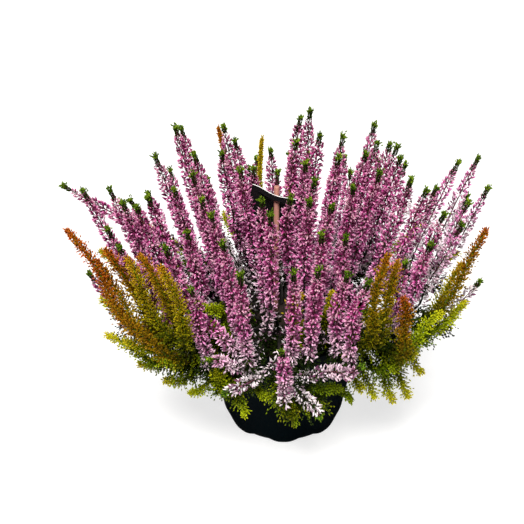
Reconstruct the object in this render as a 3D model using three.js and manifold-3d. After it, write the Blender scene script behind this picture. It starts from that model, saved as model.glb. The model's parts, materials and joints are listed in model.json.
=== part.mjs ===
// A potted heather: flowering spikes and golden leafy shoots rising from peat in a plastic pot,
// with a bare label card threaded on a stick. Millimetres, +Z up, origin at the centre of the
// pot's underside. Viewed from the front, +X is to the right and +Y goes to the back.
//
// Every spray is one closed body: a woody main stem with its spike, and side stems rooted in it.
// A flowering spike is a stack of three-pointed whorls, each turned half a step from the last, so
// that every corner is the tip of a floret. A leafy shoot is a slim four-sided core with opposite
// pairs of needles drawn out of its corners, each pair turned a quarter from the last.

import * as THREE from 'three';
import Module from 'manifold-3d';
import { mergeVertices } from 'three/addons/utils/BufferGeometryUtils.js';

// ---- Pot, soil and label ----

const POT_HEIGHT = 92;
const POT_RIM_RADIUS = 60;
const POT_FOOT_RADIUS = 44;
const POT_WALL = 1.6;
const POT_FLOOR = 1.8;
const RIM_BAND_HEIGHT = 9;
const RIM_BAND_STEP = 1.4;
const POT_SIDES = 32;
const FOOT_BEVEL = 1;
const RIM_BEVEL = 0.8;
const DRAIN_HOLES = 8;
const DRAIN_WIDTH = 15;
const DRAIN_HEIGHT = 4;
const DRAIN_REACH = 9;

const SOIL_TOP = 84;
const SOIL_SIDES = 18;
const SOIL_RINGS = [0.55, 1];
const SOIL_UNEVENNESS = 0.9;
const SOIL_WAVE = 7;
const FIT_GAP = 0.3;

const STICK_RADIUS = 1.9;
const STICK_PLACE = new THREE.Vector2(-6, 8);
const STICK_BOTTOM = 42;
const STICK_TOP = 189;
const STICK_SIDES = 8;

const CARD_WIDTH = 37;
const CARD_THICKNESS = 0.7;
const CARD_TOP_STRIP = 4;
const CARD_PANEL = 26;
const CARD_SLOT_HEIGHT = 180;
const CARD_BOW = 3.6;
const CARD_BOW_WIDTH = 32;
const CARD_LAP = 0.4;
const CARD_ROLL = THREE.MathUtils.degToRad(10);
const CARD_YAW = THREE.MathUtils.degToRad(-20);
const CARD_COLUMNS = 8;

const POT_FINISH = { color: 0x10191b, roughness: 0.45 };
const SOIL_FINISH = { color: 0x1c1510, roughness: 0.95 };
const STICK_FINISH = { color: 0xa8705a, roughness: 0.6 };
const CARD_FINISH = { color: 0x121212, roughness: 0.5 };

// ---- Shoots ----

const STEM_RADIUS = 1.4;
const SIDE_STEM_RADIUS = 1.1;
const ROOT_DEPTH = 10;
const CROWN_RADIUS = 38;
const CROWN_SPACING = 6.4;
const MAIN_STEM_STEPS = 4;
const SIDE_STEM_STEPS = 3;
const CURVE_STEPS = 30;
const STEM_HANDLE = 0.36;
const ROOT_PULL = 0.3;
const WOBBLE = 2.5;
const UPRIGHT_SHARE = 0.74;
const HANGING_SHARE = 0.46;
const FRONT_LEAN_SHARE = 0.55;
const LOWEST_FOOT = 100;
const OVER_RIM = 104;
const ARCH_RISE = 0.32;
const ARCH_REACH = 0.5;
const CLIMB = [[60, 0], [85, 34], [120, 46]];
const WIDEST_TIP_ANGLE = 100;
const SHOOT_SEED = 4711;

// How far a main spike's and a side spike's length vary, as shares of that length.
const LENGTH_VARIATION = 0.08;
const SIDE_LENGTH_VARIATION = 0.1;
const POINT_LENGTH = 3;

// A flowering spike, tapering into its green tip.
const BLOOM = {
  prefix: 'bloom_spray_',
  corners: 3,
  relief: whorl,
  standsProud: () => true,
  rings: 11,
  length: 86,
  sideShare: 0.86,
  reach: 5.9,
  profile: [[0, 0.4], [0.12, 0.92], [0.6, 1], [0.82, 0.74], [0.92, 0.44], [1, 0.28]],
  lean: [[0, 1], [14, 8], [32, 15], [50, 20], [70, 26], [90, 34]],
  arch: 0,
  finish: { color: 0x8f5b73, roughness: 0.8 },
};

// A golden leafy shoot: longer needles swept towards its tip.
const FOLIAGE = {
  prefix: 'golden_shoot_',
  corners: 4,
  relief: needlePair,
  standsProud: isNeedle,
  rings: 9,
  length: 104,
  sideShare: 0.7,
  reach: 7,
  core: 2.4,
  leastCore: 0.8,
  forward: 4,
  profile: [[0, 0.4], [0.15, 0.85], [0.55, 1], [0.85, 0.7], [1, 0.35]],
  lean: [[0, 3], [40, 18], [60, 36], [80, 55]],
  arch: 2.5,
  finish: { color: 0x7d7a26, roughness: 0.75 },
};

// Tips of the flowering sprays as [x, y, z], the main spike first and its side spikes after it.
// A spike unlike its neighbours also has its lean from the vertical, in degrees, or its foot.
const BLOOM_TIPS = [
  [{ tip: [-149, 0, 194], lean: 52 }, [-133, -19, 202]],
  [[-113, -35, 213], [-103, -50, 212]],
  [[-89, -35, 207], [-94, -56, 213]],
  [[-86, -5, 220], [-106, 4, 180]],
  [[-74, 20, 228], [-72, 45, 213]],
  [[-60, -30, 221], [-53, -61, 222], [-60, -8, 223], [-71, -45, 219]],
  [[-76, -76, 196], [-62, -72, 205]],
  [[-114, -52, 194], [-104, -76, 196], { tip: [-130, -44, 153], foot: [-105, -52, 116] }],
  [[-84, -84, 178], [-60, -98, 180]],
  [[-40, -86, 206], [-47, -70, 216]],
  [[-42, 30, 223], [-34, 12, 222], [-42, -12, 226]],
  [[-16, -64, 223], [-30, -16, 216]],
  [[-29, -101, 193], [-11, -74, 219]],
  [[-5, 36, 184], [-10, 44, 196], [-22, 30, 190]],
  [[16, 20, 240], [10, 35, 227], [22, 5, 230], [8, 18, 218]],
  [[12, -24, 226], [17, -46, 226], [2, -50, 216]],
  [[37, 0, 232], [33, -22, 229]],
  [[20, -82, 210], [13, -62, 221], [27, -66, 220], [35, -82, 208]],
  [[59, -30, 223], [41, -46, 221], [51, -14, 227]],
  [[61, 40, 219], [48, 56, 172], [70, 18, 216]],
  [[73, 2, 223], [61, 12, 220], [73, -18, 226]],
  [[79, -32, 219], [87, -46, 219], [97, -22, 206]],
  [[116, 10, 207], [130, 16, 206]],
  [[135, -4, 195], [120, -18, 192]],
  [[98, -56, 208], [112, -46, 193]],
  [
    [88, -76, 198],
    { tip: [74, -72, 182], foot: [76, -64, 118] },
    { tip: [127, -50, 151], foot: [104, -48, 109] },
  ],
  [[48, -103, 189], [36, -96, 190]],
  [[3, -101, 195], [18, -99, 196]],
  [
    [-4, -122, 151],
    { tip: [-40, -98, 96], foot: [-19, -87, 100] },
    { tip: [22, -99, 77], foot: [6, -86, 92] },
    { tip: [48, -97, 118], foot: [10, -84, 98] },
  ],
  [{ tip: [-62, -80, 148], foot: [-30, -72, 112] }, { tip: [-52, -90, 122], foot: [-24, -78, 100] }],
  [[-118, 44, 154], [-100, 62, 150], [-84, 76, 162]],
  [[-56, 62, 162], [-58, 92, 144], [-26, 62, 172]],
  [[4, 60, 184], [18, 84, 170], [-20, 96, 160], [46, 88, 166]],
  [[86, 50, 182], [70, 82, 166], [96, 84, 146]],
  [[111, 50, 160], [130, 36, 164]],
];

// Tips of the golden sprays, in the same form.
const FOLIAGE_TIPS = [
  [{ tip: [-139, -56, 195], foot: [-76, -86, 120] }, { tip: [-121, -60, 173], foot: [-90, -70, 114] }],
  [{ tip: [-114, -66, 187], foot: [-88, -72, 128] }, { tip: [-99, -80, 190], foot: [-74, -90, 137] }],
  [{ tip: [-90, -84, 195], foot: [-69, -90, 144] }, { tip: [-77, -94, 193], foot: [-62, -98, 139] }],
  [{ tip: [-102, -54, 150], foot: [-74, -70, 114] }, { tip: [-121, -50, 138], foot: [-89, -68, 108] }],
  [{ tip: [-121, -50, 106], foot: [-84, -66, 94] }, { tip: [-104, -64, 115], foot: [-70, -76, 104] }],
  [{ tip: [-99, -60, 89], foot: [-66, -68, 90] }, { tip: [-82, -66, 80], foot: [-56, -70, 88] }],
  [{ tip: [-48, -88, 107], foot: [-43, -78, 84] }, { tip: [-66, -76, 84], lean: 80 }],
  [{ tip: [-6, -86, 78], foot: [-40, -76, 82] }, { tip: [-28, -90, 70], lean: 130 }],
  [
    { tip: [36, -80, 84], foot: [3, -82, 80] },
    { tip: [6, -94, 66], lean: 150 },
    { tip: [44, -78, 72], lean: 125 },
  ],
  [{ tip: [60, -90, 199], foot: [50, -96, 139] }, { tip: [67, -84, 190], foot: [60, -90, 137] }],
  [{ tip: [127, -48, 190], foot: [104, -58, 131] }, { tip: [115, -42, 159], foot: [98, -50, 119] }],
  [{ tip: [118, -54, 137], foot: [89, -66, 113] }, { tip: [101, -66, 137], foot: [73, -76, 110] }],
  [{ tip: [68, -90, 168], foot: [75, -86, 118] }, { tip: [85, -72, 110], foot: [60, -78, 98] }],
  [
    { tip: [94, -54, 77], lean: 112 },
    { tip: [86, -56, 56], lean: 150 },
    { tip: [74, -66, 62], lean: 145 },
  ],
  [{ tip: [60, -74, 72], lean: 125 }, { tip: [50, -80, 84], lean: 100 }],
  [
    { tip: [-16, 58, 198], lean: 4 },
    { tip: [4, 48, 189], lean: 6 },
    { tip: [-46, 42, 215], lean: 14 },
  ],
  [{ tip: [-108, 74, 118], lean: 55 }, { tip: [-132, 24, 124], lean: 48 }],
  [{ tip: [108, 78, 116], lean: 55 }, { tip: [128, 40, 112], lean: 52 }],
  [
    { tip: [2, 118, 108], lean: 50 },
    { tip: [40, 108, 98], lean: 56 },
    { tip: [-46, 106, 104], lean: 52 },
  ],
  [{ tip: [14, -75, 158], foot: [10, -62, 112] }, { tip: [30, -77, 163], foot: [26, -64, 116] }],
  [{ tip: [-57, -66, 148], foot: [-34, -52, 110] }, { tip: [-56, -74, 134], foot: [-33, -62, 106] }],
];

// ---- Bending clear ----

const SETTLE_ROUNDS = 90;
const SETTLE_PAIRING = 9;
const SETTLE_REACH = 9;
const SETTLE_SPACING = 4;
const CLEARANCE = 0.7;
const RIM_CLEARANCE = 1;
const JUNCTION_LENGTH = 16;
const OWN_PUSH = 0.5;
const NEIGHBOUR_PUSH = 0.25;

const wasm = await Module();
wasm.setup();

// Park and Miller's generator, so that every draw repeats.
function seededRandom(seed) {
  let state = seed;
  return () => {
    state = (state * 16807) % 2147483647;
    return state / 2147483647;
  };
}

function vary(amount, random) {
  return 1 + amount * (2 * random() - 1);
}

function interpolate(table, at) {
  const last = table.length - 1;
  if (at <= table[0][0]) return table[0][1];
  if (at >= table[last][0]) return table[last][1];
  const next = table.findIndex(([key]) => key > at);
  const [lowKey, lowValue] = table[next - 1];
  const [highKey, highValue] = table[next];
  return lowValue + ((highValue - lowValue) * (at - lowKey)) / (highKey - lowKey);
}

function potOuterRadius(height) {
  return POT_FOOT_RADIUS + ((POT_RIM_RADIUS - RIM_BAND_STEP - POT_FOOT_RADIUS) * height) / POT_HEIGHT;
}

// ---- Solids ----

function toManifold(geometry) {
  const bare = geometry.clone();
  bare.deleteAttribute('normal');
  bare.deleteAttribute('uv');
  const merged = mergeVertices(bare, 1e-4);
  const vertProperties = new Float32Array(merged.attributes.position.array);
  const triVerts = new Uint32Array(merged.index.array);
  return new wasm.Manifold(new wasm.Mesh({ numProp: 3, vertProperties, triVerts }));
}

function toGeometry(solid) {
  const { vertProperties, triVerts } = solid.getMesh();
  const geometry = new THREE.BufferGeometry();
  geometry.setAttribute('position', new THREE.BufferAttribute(vertProperties, 3));
  geometry.setIndex(new THREE.BufferAttribute(triVerts, 1));
  return geometry;
}

function meshOf(name, geometry, finish) {
  geometry.computeVertexNormals();
  const material = new THREE.MeshStandardMaterial({ ...finish, metalness: 0 });
  const mesh = new THREE.Mesh(geometry, material);
  mesh.name = name;
  return mesh;
}

// A closed skin over rings of points with equally many corners, closed at the start by a flat cap
// and at the end by a point. Where ridged(ring, corner) holds, the corner stands proud and the
// quads beside it are split so that it is the peak of its own small pyramid.
function skinOver(rings, peak, ridged) {
  const corners = rings[0].length;
  const points = rings.flat();
  const faces = [];
  for (let corner = 1; corner < corners - 1; corner += 1) {
    faces.push(0, corner + 1, corner);
  }
  for (let ring = 0; ring < rings.length - 1; ring += 1) {
    for (let corner = 0; corner < corners; corner += 1) {
      const next = (corner + 1) % corners;
      const here = ring * corners + corner;
      const beside = ring * corners + next;
      const above = here + corners;
      const aboveBeside = beside + corners;
      if (ridged(ring, corner)) {
        faces.push(here, beside, above, beside, aboveBeside, above);
      } else {
        faces.push(here, beside, aboveBeside, here, aboveBeside, above);
      }
    }
  }
  const lastRing = (rings.length - 1) * corners;
  points.push(peak);
  for (let corner = 0; corner < corners; corner += 1) {
    faces.push(lastRing + corner, lastRing + ((corner + 1) % corners), points.length - 1);
  }
  const geometry = new THREE.BufferGeometry().setFromPoints(points);
  geometry.setIndex(faces);
  return geometry;
}

// ---- The routes of the shoots ----

// The shoot's share of its own length at each of its nodes: even steps up the bare stem, then a
// ring of florets or needles at each even step of the spike.
function nodeShares(stemSteps, rings, spikeShare) {
  const shares = [];
  for (let step = 0; step < stemSteps; step += 1) {
    shares.push(((1 - spikeShare) * step) / stemSteps);
  }
  for (let ring = 0; ring < rings; ring += 1) {
    shares.push(1 - spikeShare + (spikeShare * ring) / (rings - 1));
  }
  return shares;
}

// Where a straight spike starts: above the pot's rim, however low its tip is.
function footOf(tip, lean, azimuth, spikeLength) {
  const direction = leaning(lean, azimuth);
  const longest = (tip.z - LOWEST_FOOT) / direction.z;
  return tip.clone().addScaledVector(direction, -Math.min(spikeLength, longest));
}

// The route of a shoot whose nearly straight spike stands on a stem that bends out to its foot. A
// stem that leaves the pot passes over the rim.
function standingRoute(root, rise, tip, foot, arch) {
  const direction = tip.clone().sub(foot).normalize();
  const reach = root.distanceTo(foot);
  const lower = root.clone().addScaledVector(rise, STEM_HANDLE * reach);
  const upper = foot.clone().addScaledVector(direction, -STEM_HANDLE * reach);
  if (Math.hypot(foot.x, foot.y) > POT_RIM_RADIUS) {
    lower.z = Math.max(lower.z, OVER_RIM);
    upper.z = Math.max(upper.z, OVER_RIM);
  }
  const points = new THREE.CubicBezierCurve3(root, lower, upper, foot).getPoints(CURVE_STEPS);
  for (let step = 1; step <= CURVE_STEPS; step += 1) {
    const share = step / CURVE_STEPS;
    const point = foot.clone().lerp(tip, share);
    point.z += 4 * arch * share * (1 - share);
    points.push(point);
  }
  return points;
}

// The route of a shoot that bends all the way from its root to its tip.
function archedRoute(root, rise, tip, lean, azimuth) {
  const span = root.distanceTo(tip);
  const climb = Math.max(ARCH_RISE * span, interpolate(CLIMB, tipAngle(tip)));
  const lower = root.clone().addScaledVector(rise, climb);
  const upper = tip.clone().addScaledVector(leaning(lean, azimuth), -ARCH_REACH * span);
  return new THREE.CubicBezierCurve3(root, lower, upper, tip).getPoints(2 * CURVE_STEPS);
}

function lengthsAlong(points) {
  const lengths = [0];
  for (let index = 1; index < points.length; index += 1) {
    lengths.push(lengths[index - 1] + points[index].distanceTo(points[index - 1]));
  }
  return lengths;
}

function pointsAt(points, lengths, shares) {
  const last = points.length - 1;
  const table = lengths.map((length, index) => [length, index]);
  return shares.map((share) => {
    const place = interpolate(table, share * lengths[last]);
    const low = Math.min(Math.floor(place), last - 1);
    return points[low].clone().lerp(points[low + 1], place - low);
  });
}

// The tip's angle from the vertical, seen from the middle of the soil, in degrees.
function tipAngle(tip) {
  const out = Math.hypot(tip.x, tip.y);
  return THREE.MathUtils.radToDeg(Math.atan2(out, tip.z - SOIL_TOP));
}

// Spikes at the sides lean out the most; those at the front and back stand straighter.
function leanOf(kind, tip) {
  const sideways = (tip.x * tip.x) / (tip.x * tip.x + tip.y * tip.y);
  const share = FRONT_LEAN_SHARE + (1 - FRONT_LEAN_SHARE) * sideways;
  return interpolate(kind.lean, tipAngle(tip)) * share;
}

function leaning(degrees, azimuth) {
  const lean = THREE.MathUtils.degToRad(degrees);
  const out = Math.sin(lean);
  return new THREE.Vector3(out * Math.cos(azimuth), out * Math.sin(azimuth), Math.cos(lean));
}

function describe(row) {
  const { tip, lean = null, foot = null } = Array.isArray(row) ? { tip: row } : row;
  return { tip: new THREE.Vector3(...tip), lean, foot: foot && new THREE.Vector3(...foot) };
}

function makeShoot(kind, row, root, rise, stemSteps, length, stemRadius, random) {
  const { tip, lean, foot } = describe(row);
  const azimuth = Math.atan2(tip.y - ROOT_PULL * root.y, tip.x - ROOT_PULL * root.x);
  const arched = lean !== null;
  const start = foot ?? footOf(tip, leanOf(kind, tip), azimuth, length);
  const route = arched
    ? archedRoute(root, rise, tip, lean, azimuth)
    : standingRoute(root, rise, tip, start, kind.arch);
  const lengths = lengthsAlong(route);
  const mostSpike = lean > 90 ? HANGING_SHARE : UPRIGHT_SHARE;
  const standingShare = 1 - lengths[CURVE_STEPS] / lengths.at(-1);
  const spikeShare = arched ? Math.min(length / lengths.at(-1), mostSpike) : standingShare;
  const shares = nodeShares(stemSteps, kind.rings, spikeShare);
  const nodes = pointsAt(route, lengths, shares);
  const side = new THREE.Vector3(-Math.sin(azimuth), Math.cos(azimuth), 0);
  const sway = WOBBLE * (2 * random() - 1);
  const twist = (random() * Math.PI) / 2;
  nodes.forEach((node, index) => {
    node.addScaledVector(side, sway * Math.sin(2 * Math.PI * shares[index]));
  });
  const firstRing = stemSteps;
  const radii = nodes.map((_, index) => {
    if (index < firstRing) return stemRadius + FIT_GAP;
    return kind.reach * interpolate(kind.profile, (index - firstRing) / (kind.rings - 1));
  });
  return { kind, nodes, radii, side, twist, firstRing, stemRadius, parent: null, fixed: 1 };
}

// Main stems rise from the crown of the plant; the further a spike leans out, the further from the
// middle its stem stands. Stems that would stand too close are moved apart.
function crownPlaces(tips) {
  const places = tips.map((tip) => {
    const out = CROWN_RADIUS * Math.sqrt(Math.min(tipAngle(tip) / WIDEST_TIP_ANGLE, 1));
    const azimuth = Math.atan2(tip.y, tip.x);
    return new THREE.Vector2(out * Math.cos(azimuth), out * Math.sin(azimuth));
  });
  for (let round = 0; round < SETTLE_ROUNDS; round += 1) {
    const moves = places.map(() => new THREE.Vector2());
    for (let first = 0; first < places.length; first += 1) {
      const fromStick = places[first].clone().sub(STICK_PLACE);
      const stickOverlap = CROWN_SPACING - fromStick.length();
      if (stickOverlap > 0) moves[first].addScaledVector(fromStick.normalize(), stickOverlap / 2);
      for (let second = first + 1; second < places.length; second += 1) {
        const apart = places[second].clone().sub(places[first]);
        const overlap = CROWN_SPACING - apart.length();
        if (overlap <= 0) continue;
        apart.normalize();
        moves[first].addScaledVector(apart, -overlap / 4);
        moves[second].addScaledVector(apart, overlap / 4);
      }
    }
    places.forEach((place, index) => place.add(moves[index]));
  }
  return places;
}

function makeSpray(kind, rows, place, index, random) {
  const up = new THREE.Vector3(0, 0, 1);
  const root = new THREE.Vector3(place.x, place.y, SOIL_TOP);
  const spikeLength = kind.length * vary(LENGTH_VARIATION, random);
  const main = makeShoot(kind, rows[0], root, up, MAIN_STEM_STEPS, spikeLength, STEM_RADIUS, random);
  main.nodes.unshift(new THREE.Vector3(place.x, place.y, SOIL_TOP - ROOT_DEPTH));
  main.radii.unshift(main.radii[0]);
  main.firstRing += 1;
  main.fixed = 2;
  const shoots = [main];
  rows.slice(1).forEach((row, order) => {
    const joint = MAIN_STEM_STEPS - 1 + (order % 2);
    const from = main.nodes[joint].clone();
    const rise = main.nodes[joint + 1].clone().sub(main.nodes[joint - 1]).normalize();
    const length = kind.length * kind.sideShare * vary(SIDE_LENGTH_VARIATION, random);
    const shoot = makeShoot(kind, row, from, rise, SIDE_STEM_STEPS, length, SIDE_STEM_RADIUS, random);
    shoot.parent = { shoot: main, joint };
    shoots.push(shoot);
  });
  shoots.forEach((shoot) => Object.assign(shoot, { spray: index }));
  return shoots;
}

// ---- Settling: shoots lean away from whatever they would run through ----

// Small balls along a shoot, each between two of its nodes.
function ballsOf(shoot, owner) {
  const balls = [];
  for (let node = 0; node < shoot.nodes.length - 1; node += 1) {
    const span = shoot.nodes[node].distanceTo(shoot.nodes[node + 1]);
    const count = Math.max(1, Math.ceil(span / SETTLE_SPACING));
    for (let step = 0; step < count; step += 1) {
      const share = step / count;
      const radius = shoot.radii[node] * (1 - share) + shoot.radii[node + 1] * share;
      balls.push({ owner, node, share, radius, at: new THREE.Vector3() });
    }
  }
  const last = shoot.nodes.length - 1;
  balls.push({ owner, node: last - 1, share: 1, radius: shoot.radii[last], at: new THREE.Vector3() });
  return balls;
}

// The stick and the card, as balls that never move.
function labelBalls() {
  const balls = [];
  for (let height = SOIL_TOP; height <= STICK_TOP; height += SETTLE_SPACING) {
    const at = new THREE.Vector3(STICK_PLACE.x, STICK_PLACE.y, height);
    balls.push({ owner: -1, radius: STICK_RADIUS, at });
  }
  const turn = cardPlacement();
  const half = CARD_WIDTH / 2;
  for (let across = -half; across <= half; across += SETTLE_SPACING) {
    for (let height = -CARD_PANEL; height <= CARD_TOP_STRIP; height += SETTLE_SPACING) {
      const depth = CARD_BOW * cardBow(across) * (height > 0 ? -1 : 1);
      const at = new THREE.Vector3(across, depth, height).applyMatrix4(turn);
      balls.push({ owner: -1, radius: CARD_THICKNESS, at });
    }
  }
  return balls;
}

function closePairs(balls, shoots) {
  const pairs = [];
  for (let first = 0; first < balls.length; first += 1) {
    for (let second = first + 1; second < balls.length; second += 1) {
      const a = balls[first];
      const b = balls[second];
      if (a.owner === b.owner) continue;
      const reach = a.radius + b.radius + SETTLE_REACH;
      if (Math.abs(a.at.z - b.at.z) > reach || Math.abs(a.at.x - b.at.x) > reach) continue;
      if (a.at.distanceTo(b.at) > reach) continue;
      if (!nearJunction(a, b, shoots)) pairs.push([a, b]);
    }
  }
  return pairs;
}

// Two shoots of one spray may touch where the side stem leaves the main one.
function nearJunction(a, b, shoots) {
  if (a.owner < 0 || b.owner < 0) return false;
  if (shoots[a.owner].spray !== shoots[b.owner].spray) return false;
  return [a, b].some((ball) => {
    const { parent, nodes } = shoots[ball.owner];
    return parent !== null && ball.at.distanceTo(nodes[0]) < JUNCTION_LENGTH;
  });
}

// The way out of the pot's wall, of the soil and of the ground for a ball, or null.
function wayOutOfPot(ball) {
  const { at, radius } = ball;
  const out = Math.hypot(at.x, at.y);
  const middle = potOuterRadius(POT_HEIGHT) - POT_WALL / 2;
  const foot = POT_FOOT_RADIUS - POT_WALL / 2;
  const slope = (middle - foot) / POT_HEIGHT;
  const nearest = (at.z + slope * (out - foot)) / (1 + slope * slope);
  const along = THREE.MathUtils.clamp(nearest, 0, POT_HEIGHT - POT_WALL);
  const wallOut = foot + slope * along;
  const distance = Math.hypot(out - wallOut, at.z - along);
  const reach = radius + POT_WALL / 2 + RIM_BAND_STEP + RIM_CLEARANCE;
  const move = new THREE.Vector3();
  if (distance < reach) {
    const outward = (out - wallOut) / distance;
    move.set((outward * at.x) / out, (outward * at.y) / out, (at.z - along) / distance);
    move.multiplyScalar(reach - distance);
  }
  if (out < wallOut && at.z < SOIL_TOP + radius + RIM_CLEARANCE) {
    move.z += SOIL_TOP + radius + RIM_CLEARANCE - at.z;
  }
  return move;
}

function settle(shoots) {
  const balls = shoots.flatMap(ballsOf);
  const moving = balls.length;
  balls.push(...labelBalls());
  let pairs = [];
  for (let round = 0; round < SETTLE_ROUNDS; round += 1) {
    for (let index = 0; index < moving; index += 1) {
      const ball = balls[index];
      const { nodes } = shoots[ball.owner];
      ball.at.copy(nodes[ball.node]).lerp(nodes[ball.node + 1], ball.share);
    }
    if (round % SETTLE_PAIRING === 0) pairs = closePairs(balls, shoots);
    const moves = shoots.map(({ nodes }) => nodes.map(() => new THREE.Vector3()));
    const weights = shoots.map(({ nodes }) => nodes.map(() => 0));
    const push = (ball, way) => {
      if (ball.owner < 0) return;
      moves[ball.owner][ball.node].addScaledVector(way, 1 - ball.share);
      moves[ball.owner][ball.node + 1].addScaledVector(way, ball.share);
      weights[ball.owner][ball.node] += 1 - ball.share;
      weights[ball.owner][ball.node + 1] += ball.share;
    };
    pairs.forEach(([a, b]) => {
      const apart = b.at.clone().sub(a.at);
      const distance = apart.length();
      const overlap = a.radius + b.radius + CLEARANCE - distance;
      if (overlap <= 0) return;
      const share = a.owner < 0 || b.owner < 0 ? 1 : 0.5;
      apart.multiplyScalar((share * overlap) / distance);
      push(b, apart);
      push(a, apart.clone().negate());
    });
    for (let index = 0; index < moving; index += 1) {
      const way = wayOutOfPot(balls[index]);
      const belowGround = balls[index].node < shoots[balls[index].owner].fixed;
      if (way.lengthSq() > 0 && !belowGround) push(balls[index], way);
    }
    shoots.forEach((shoot, index) => moveShoot(shoot, moves[index], weights[index]));
    shoots.forEach(({ parent, nodes }) => {
      if (parent !== null) nodes[0].copy(parent.shoot.nodes[parent.joint]);
    });
  }
}

// Each node takes a share of its own push and of its neighbours', so that the shoot bends smoothly;
// its rooted nodes stay.
function moveShoot(shoot, moves, weights) {
  const { nodes, fixed } = shoot;
  const pushes = moves.map((move, index) => {
    if (index < fixed) return new THREE.Vector3();
    return move.divideScalar(Math.max(weights[index], 1));
  });
  for (let index = fixed; index < nodes.length; index += 1) {
    const before = pushes[index - 1];
    const after = pushes[Math.min(index + 1, nodes.length - 1)];
    nodes[index].addScaledVector(pushes[index], OWN_PUSH);
    nodes[index].addScaledVector(before, NEIGHBOUR_PUSH);
    nodes[index].addScaledVector(after, NEIGHBOUR_PUSH);
  }
}

// ---- Shoots as solids ----

// The direction of a shoot at a node, and two directions square to it and to each other.
function frameAt(shoot, index) {
  const { nodes, side } = shoot;
  const last = nodes.length - 1;
  const ahead = nodes[Math.min(index + 1, last)].clone().sub(nodes[Math.max(index - 1, 0)]).normalize();
  const across = side.clone().addScaledVector(ahead, -side.dot(ahead)).normalize();
  const other = ahead.clone().cross(across);
  return { ahead, across, other };
}

// Three floret tips, turned half a step from those of the whorl below.
function whorl(kind, ring) {
  const share = interpolate(kind.profile, ring / (kind.rings - 1));
  const turn = (Math.PI * ring) / kind.corners;
  return { radius: kind.reach * share, turn, forward: 0 };
}

// One corner of a pair of needles and the bare pair beside it.
function needlePair(kind, ring, corner) {
  const share = interpolate(kind.profile, ring / (kind.rings - 1));
  if (isNeedle(ring, corner)) return { radius: kind.reach * share, turn: 0, forward: kind.forward * share };
  return { radius: Math.max(kind.core * share, kind.leastCore), turn: 0, forward: 0 };
}

function isNeedle(ring, corner) {
  return (ring + corner) % 2 === 0;
}

function crossSection(shoot, index) {
  const { nodes, twist, kind, firstRing, stemRadius } = shoot;
  const { ahead, across, other } = frameAt(shoot, index);
  const ring = index - firstRing;
  const corners = [];
  for (let corner = 0; corner < kind.corners; corner += 1) {
    const bare = { radius: stemRadius, turn: 0, forward: 0 };
    const { radius, turn, forward } = ring > 0 ? kind.relief(kind, ring, corner) : bare;
    const angle = twist + turn + (2 * Math.PI * corner) / kind.corners;
    const point = nodes[index].clone();
    point.addScaledVector(across, radius * Math.cos(angle));
    point.addScaledVector(other, radius * Math.sin(angle));
    point.addScaledVector(ahead, forward);
    corners.push(point);
  }
  return corners;
}

function shootSolid(shoot) {
  const { nodes, firstRing, kind } = shoot;
  const last = nodes.length - 1;
  const rings = nodes.map((_, index) => crossSection(shoot, index));
  const ahead = nodes[last].clone().sub(nodes[last - 1]).normalize();
  const peak = nodes[last].clone().addScaledVector(ahead, POINT_LENGTH);
  const ridged = (ring, corner) => kind.standsProud(ring - firstRing, corner);
  return toManifold(skinOver(rings, peak, ridged));
}

function sprayMesh(kind, order, shoots) {
  const solid = shoots.map(shootSolid).reduce((whole, next) => whole.add(next));
  const name = kind.prefix + String(order + 1).padStart(2, '0');
  return meshOf(name, toGeometry(solid), kind.finish);
}

// ---- Pot ----

function potMesh() {
  const bandFoot = POT_HEIGHT - RIM_BAND_HEIGHT;
  const inner = potOuterRadius(POT_HEIGHT) - POT_WALL;
  const profile = [
    [0, 0],
    [POT_FOOT_RADIUS - FOOT_BEVEL, 0],
    [POT_FOOT_RADIUS, FOOT_BEVEL],
    [potOuterRadius(bandFoot), bandFoot],
    [potOuterRadius(bandFoot) + RIM_BAND_STEP, bandFoot + RIM_BEVEL],
    [POT_RIM_RADIUS, POT_HEIGHT - RIM_BEVEL],
    [POT_RIM_RADIUS - RIM_BEVEL, POT_HEIGHT],
    [inner, POT_HEIGHT],
    [POT_FOOT_RADIUS - POT_WALL, POT_FLOOR],
    [0, POT_FLOOR],
  ].map(([radius, height]) => new THREE.Vector2(radius, height));
  const lathe = new THREE.LatheGeometry(profile, POT_SIDES).rotateX(Math.PI / 2);
  let solid = toManifold(lathe);
  for (let hole = 0; hole < DRAIN_HOLES; hole += 1) {
    const cutter = new THREE.BoxGeometry(DRAIN_REACH, DRAIN_WIDTH, 2 * DRAIN_HEIGHT);
    cutter.translate(POT_FOOT_RADIUS, 0, 0);
    cutter.rotateZ((2 * Math.PI * (hole + 0.5)) / DRAIN_HOLES);
    solid = solid.subtract(toManifold(cutter));
  }
  return meshOf('pot', toGeometry(solid), POT_FINISH);
}

// ---- Soil ----

function soilTopAt(x, y) {
  return SOIL_TOP - 1 + SOIL_UNEVENNESS * Math.sin(x / SOIL_WAVE + 0.8) * Math.cos(y / SOIL_WAVE - 0.4);
}

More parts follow.
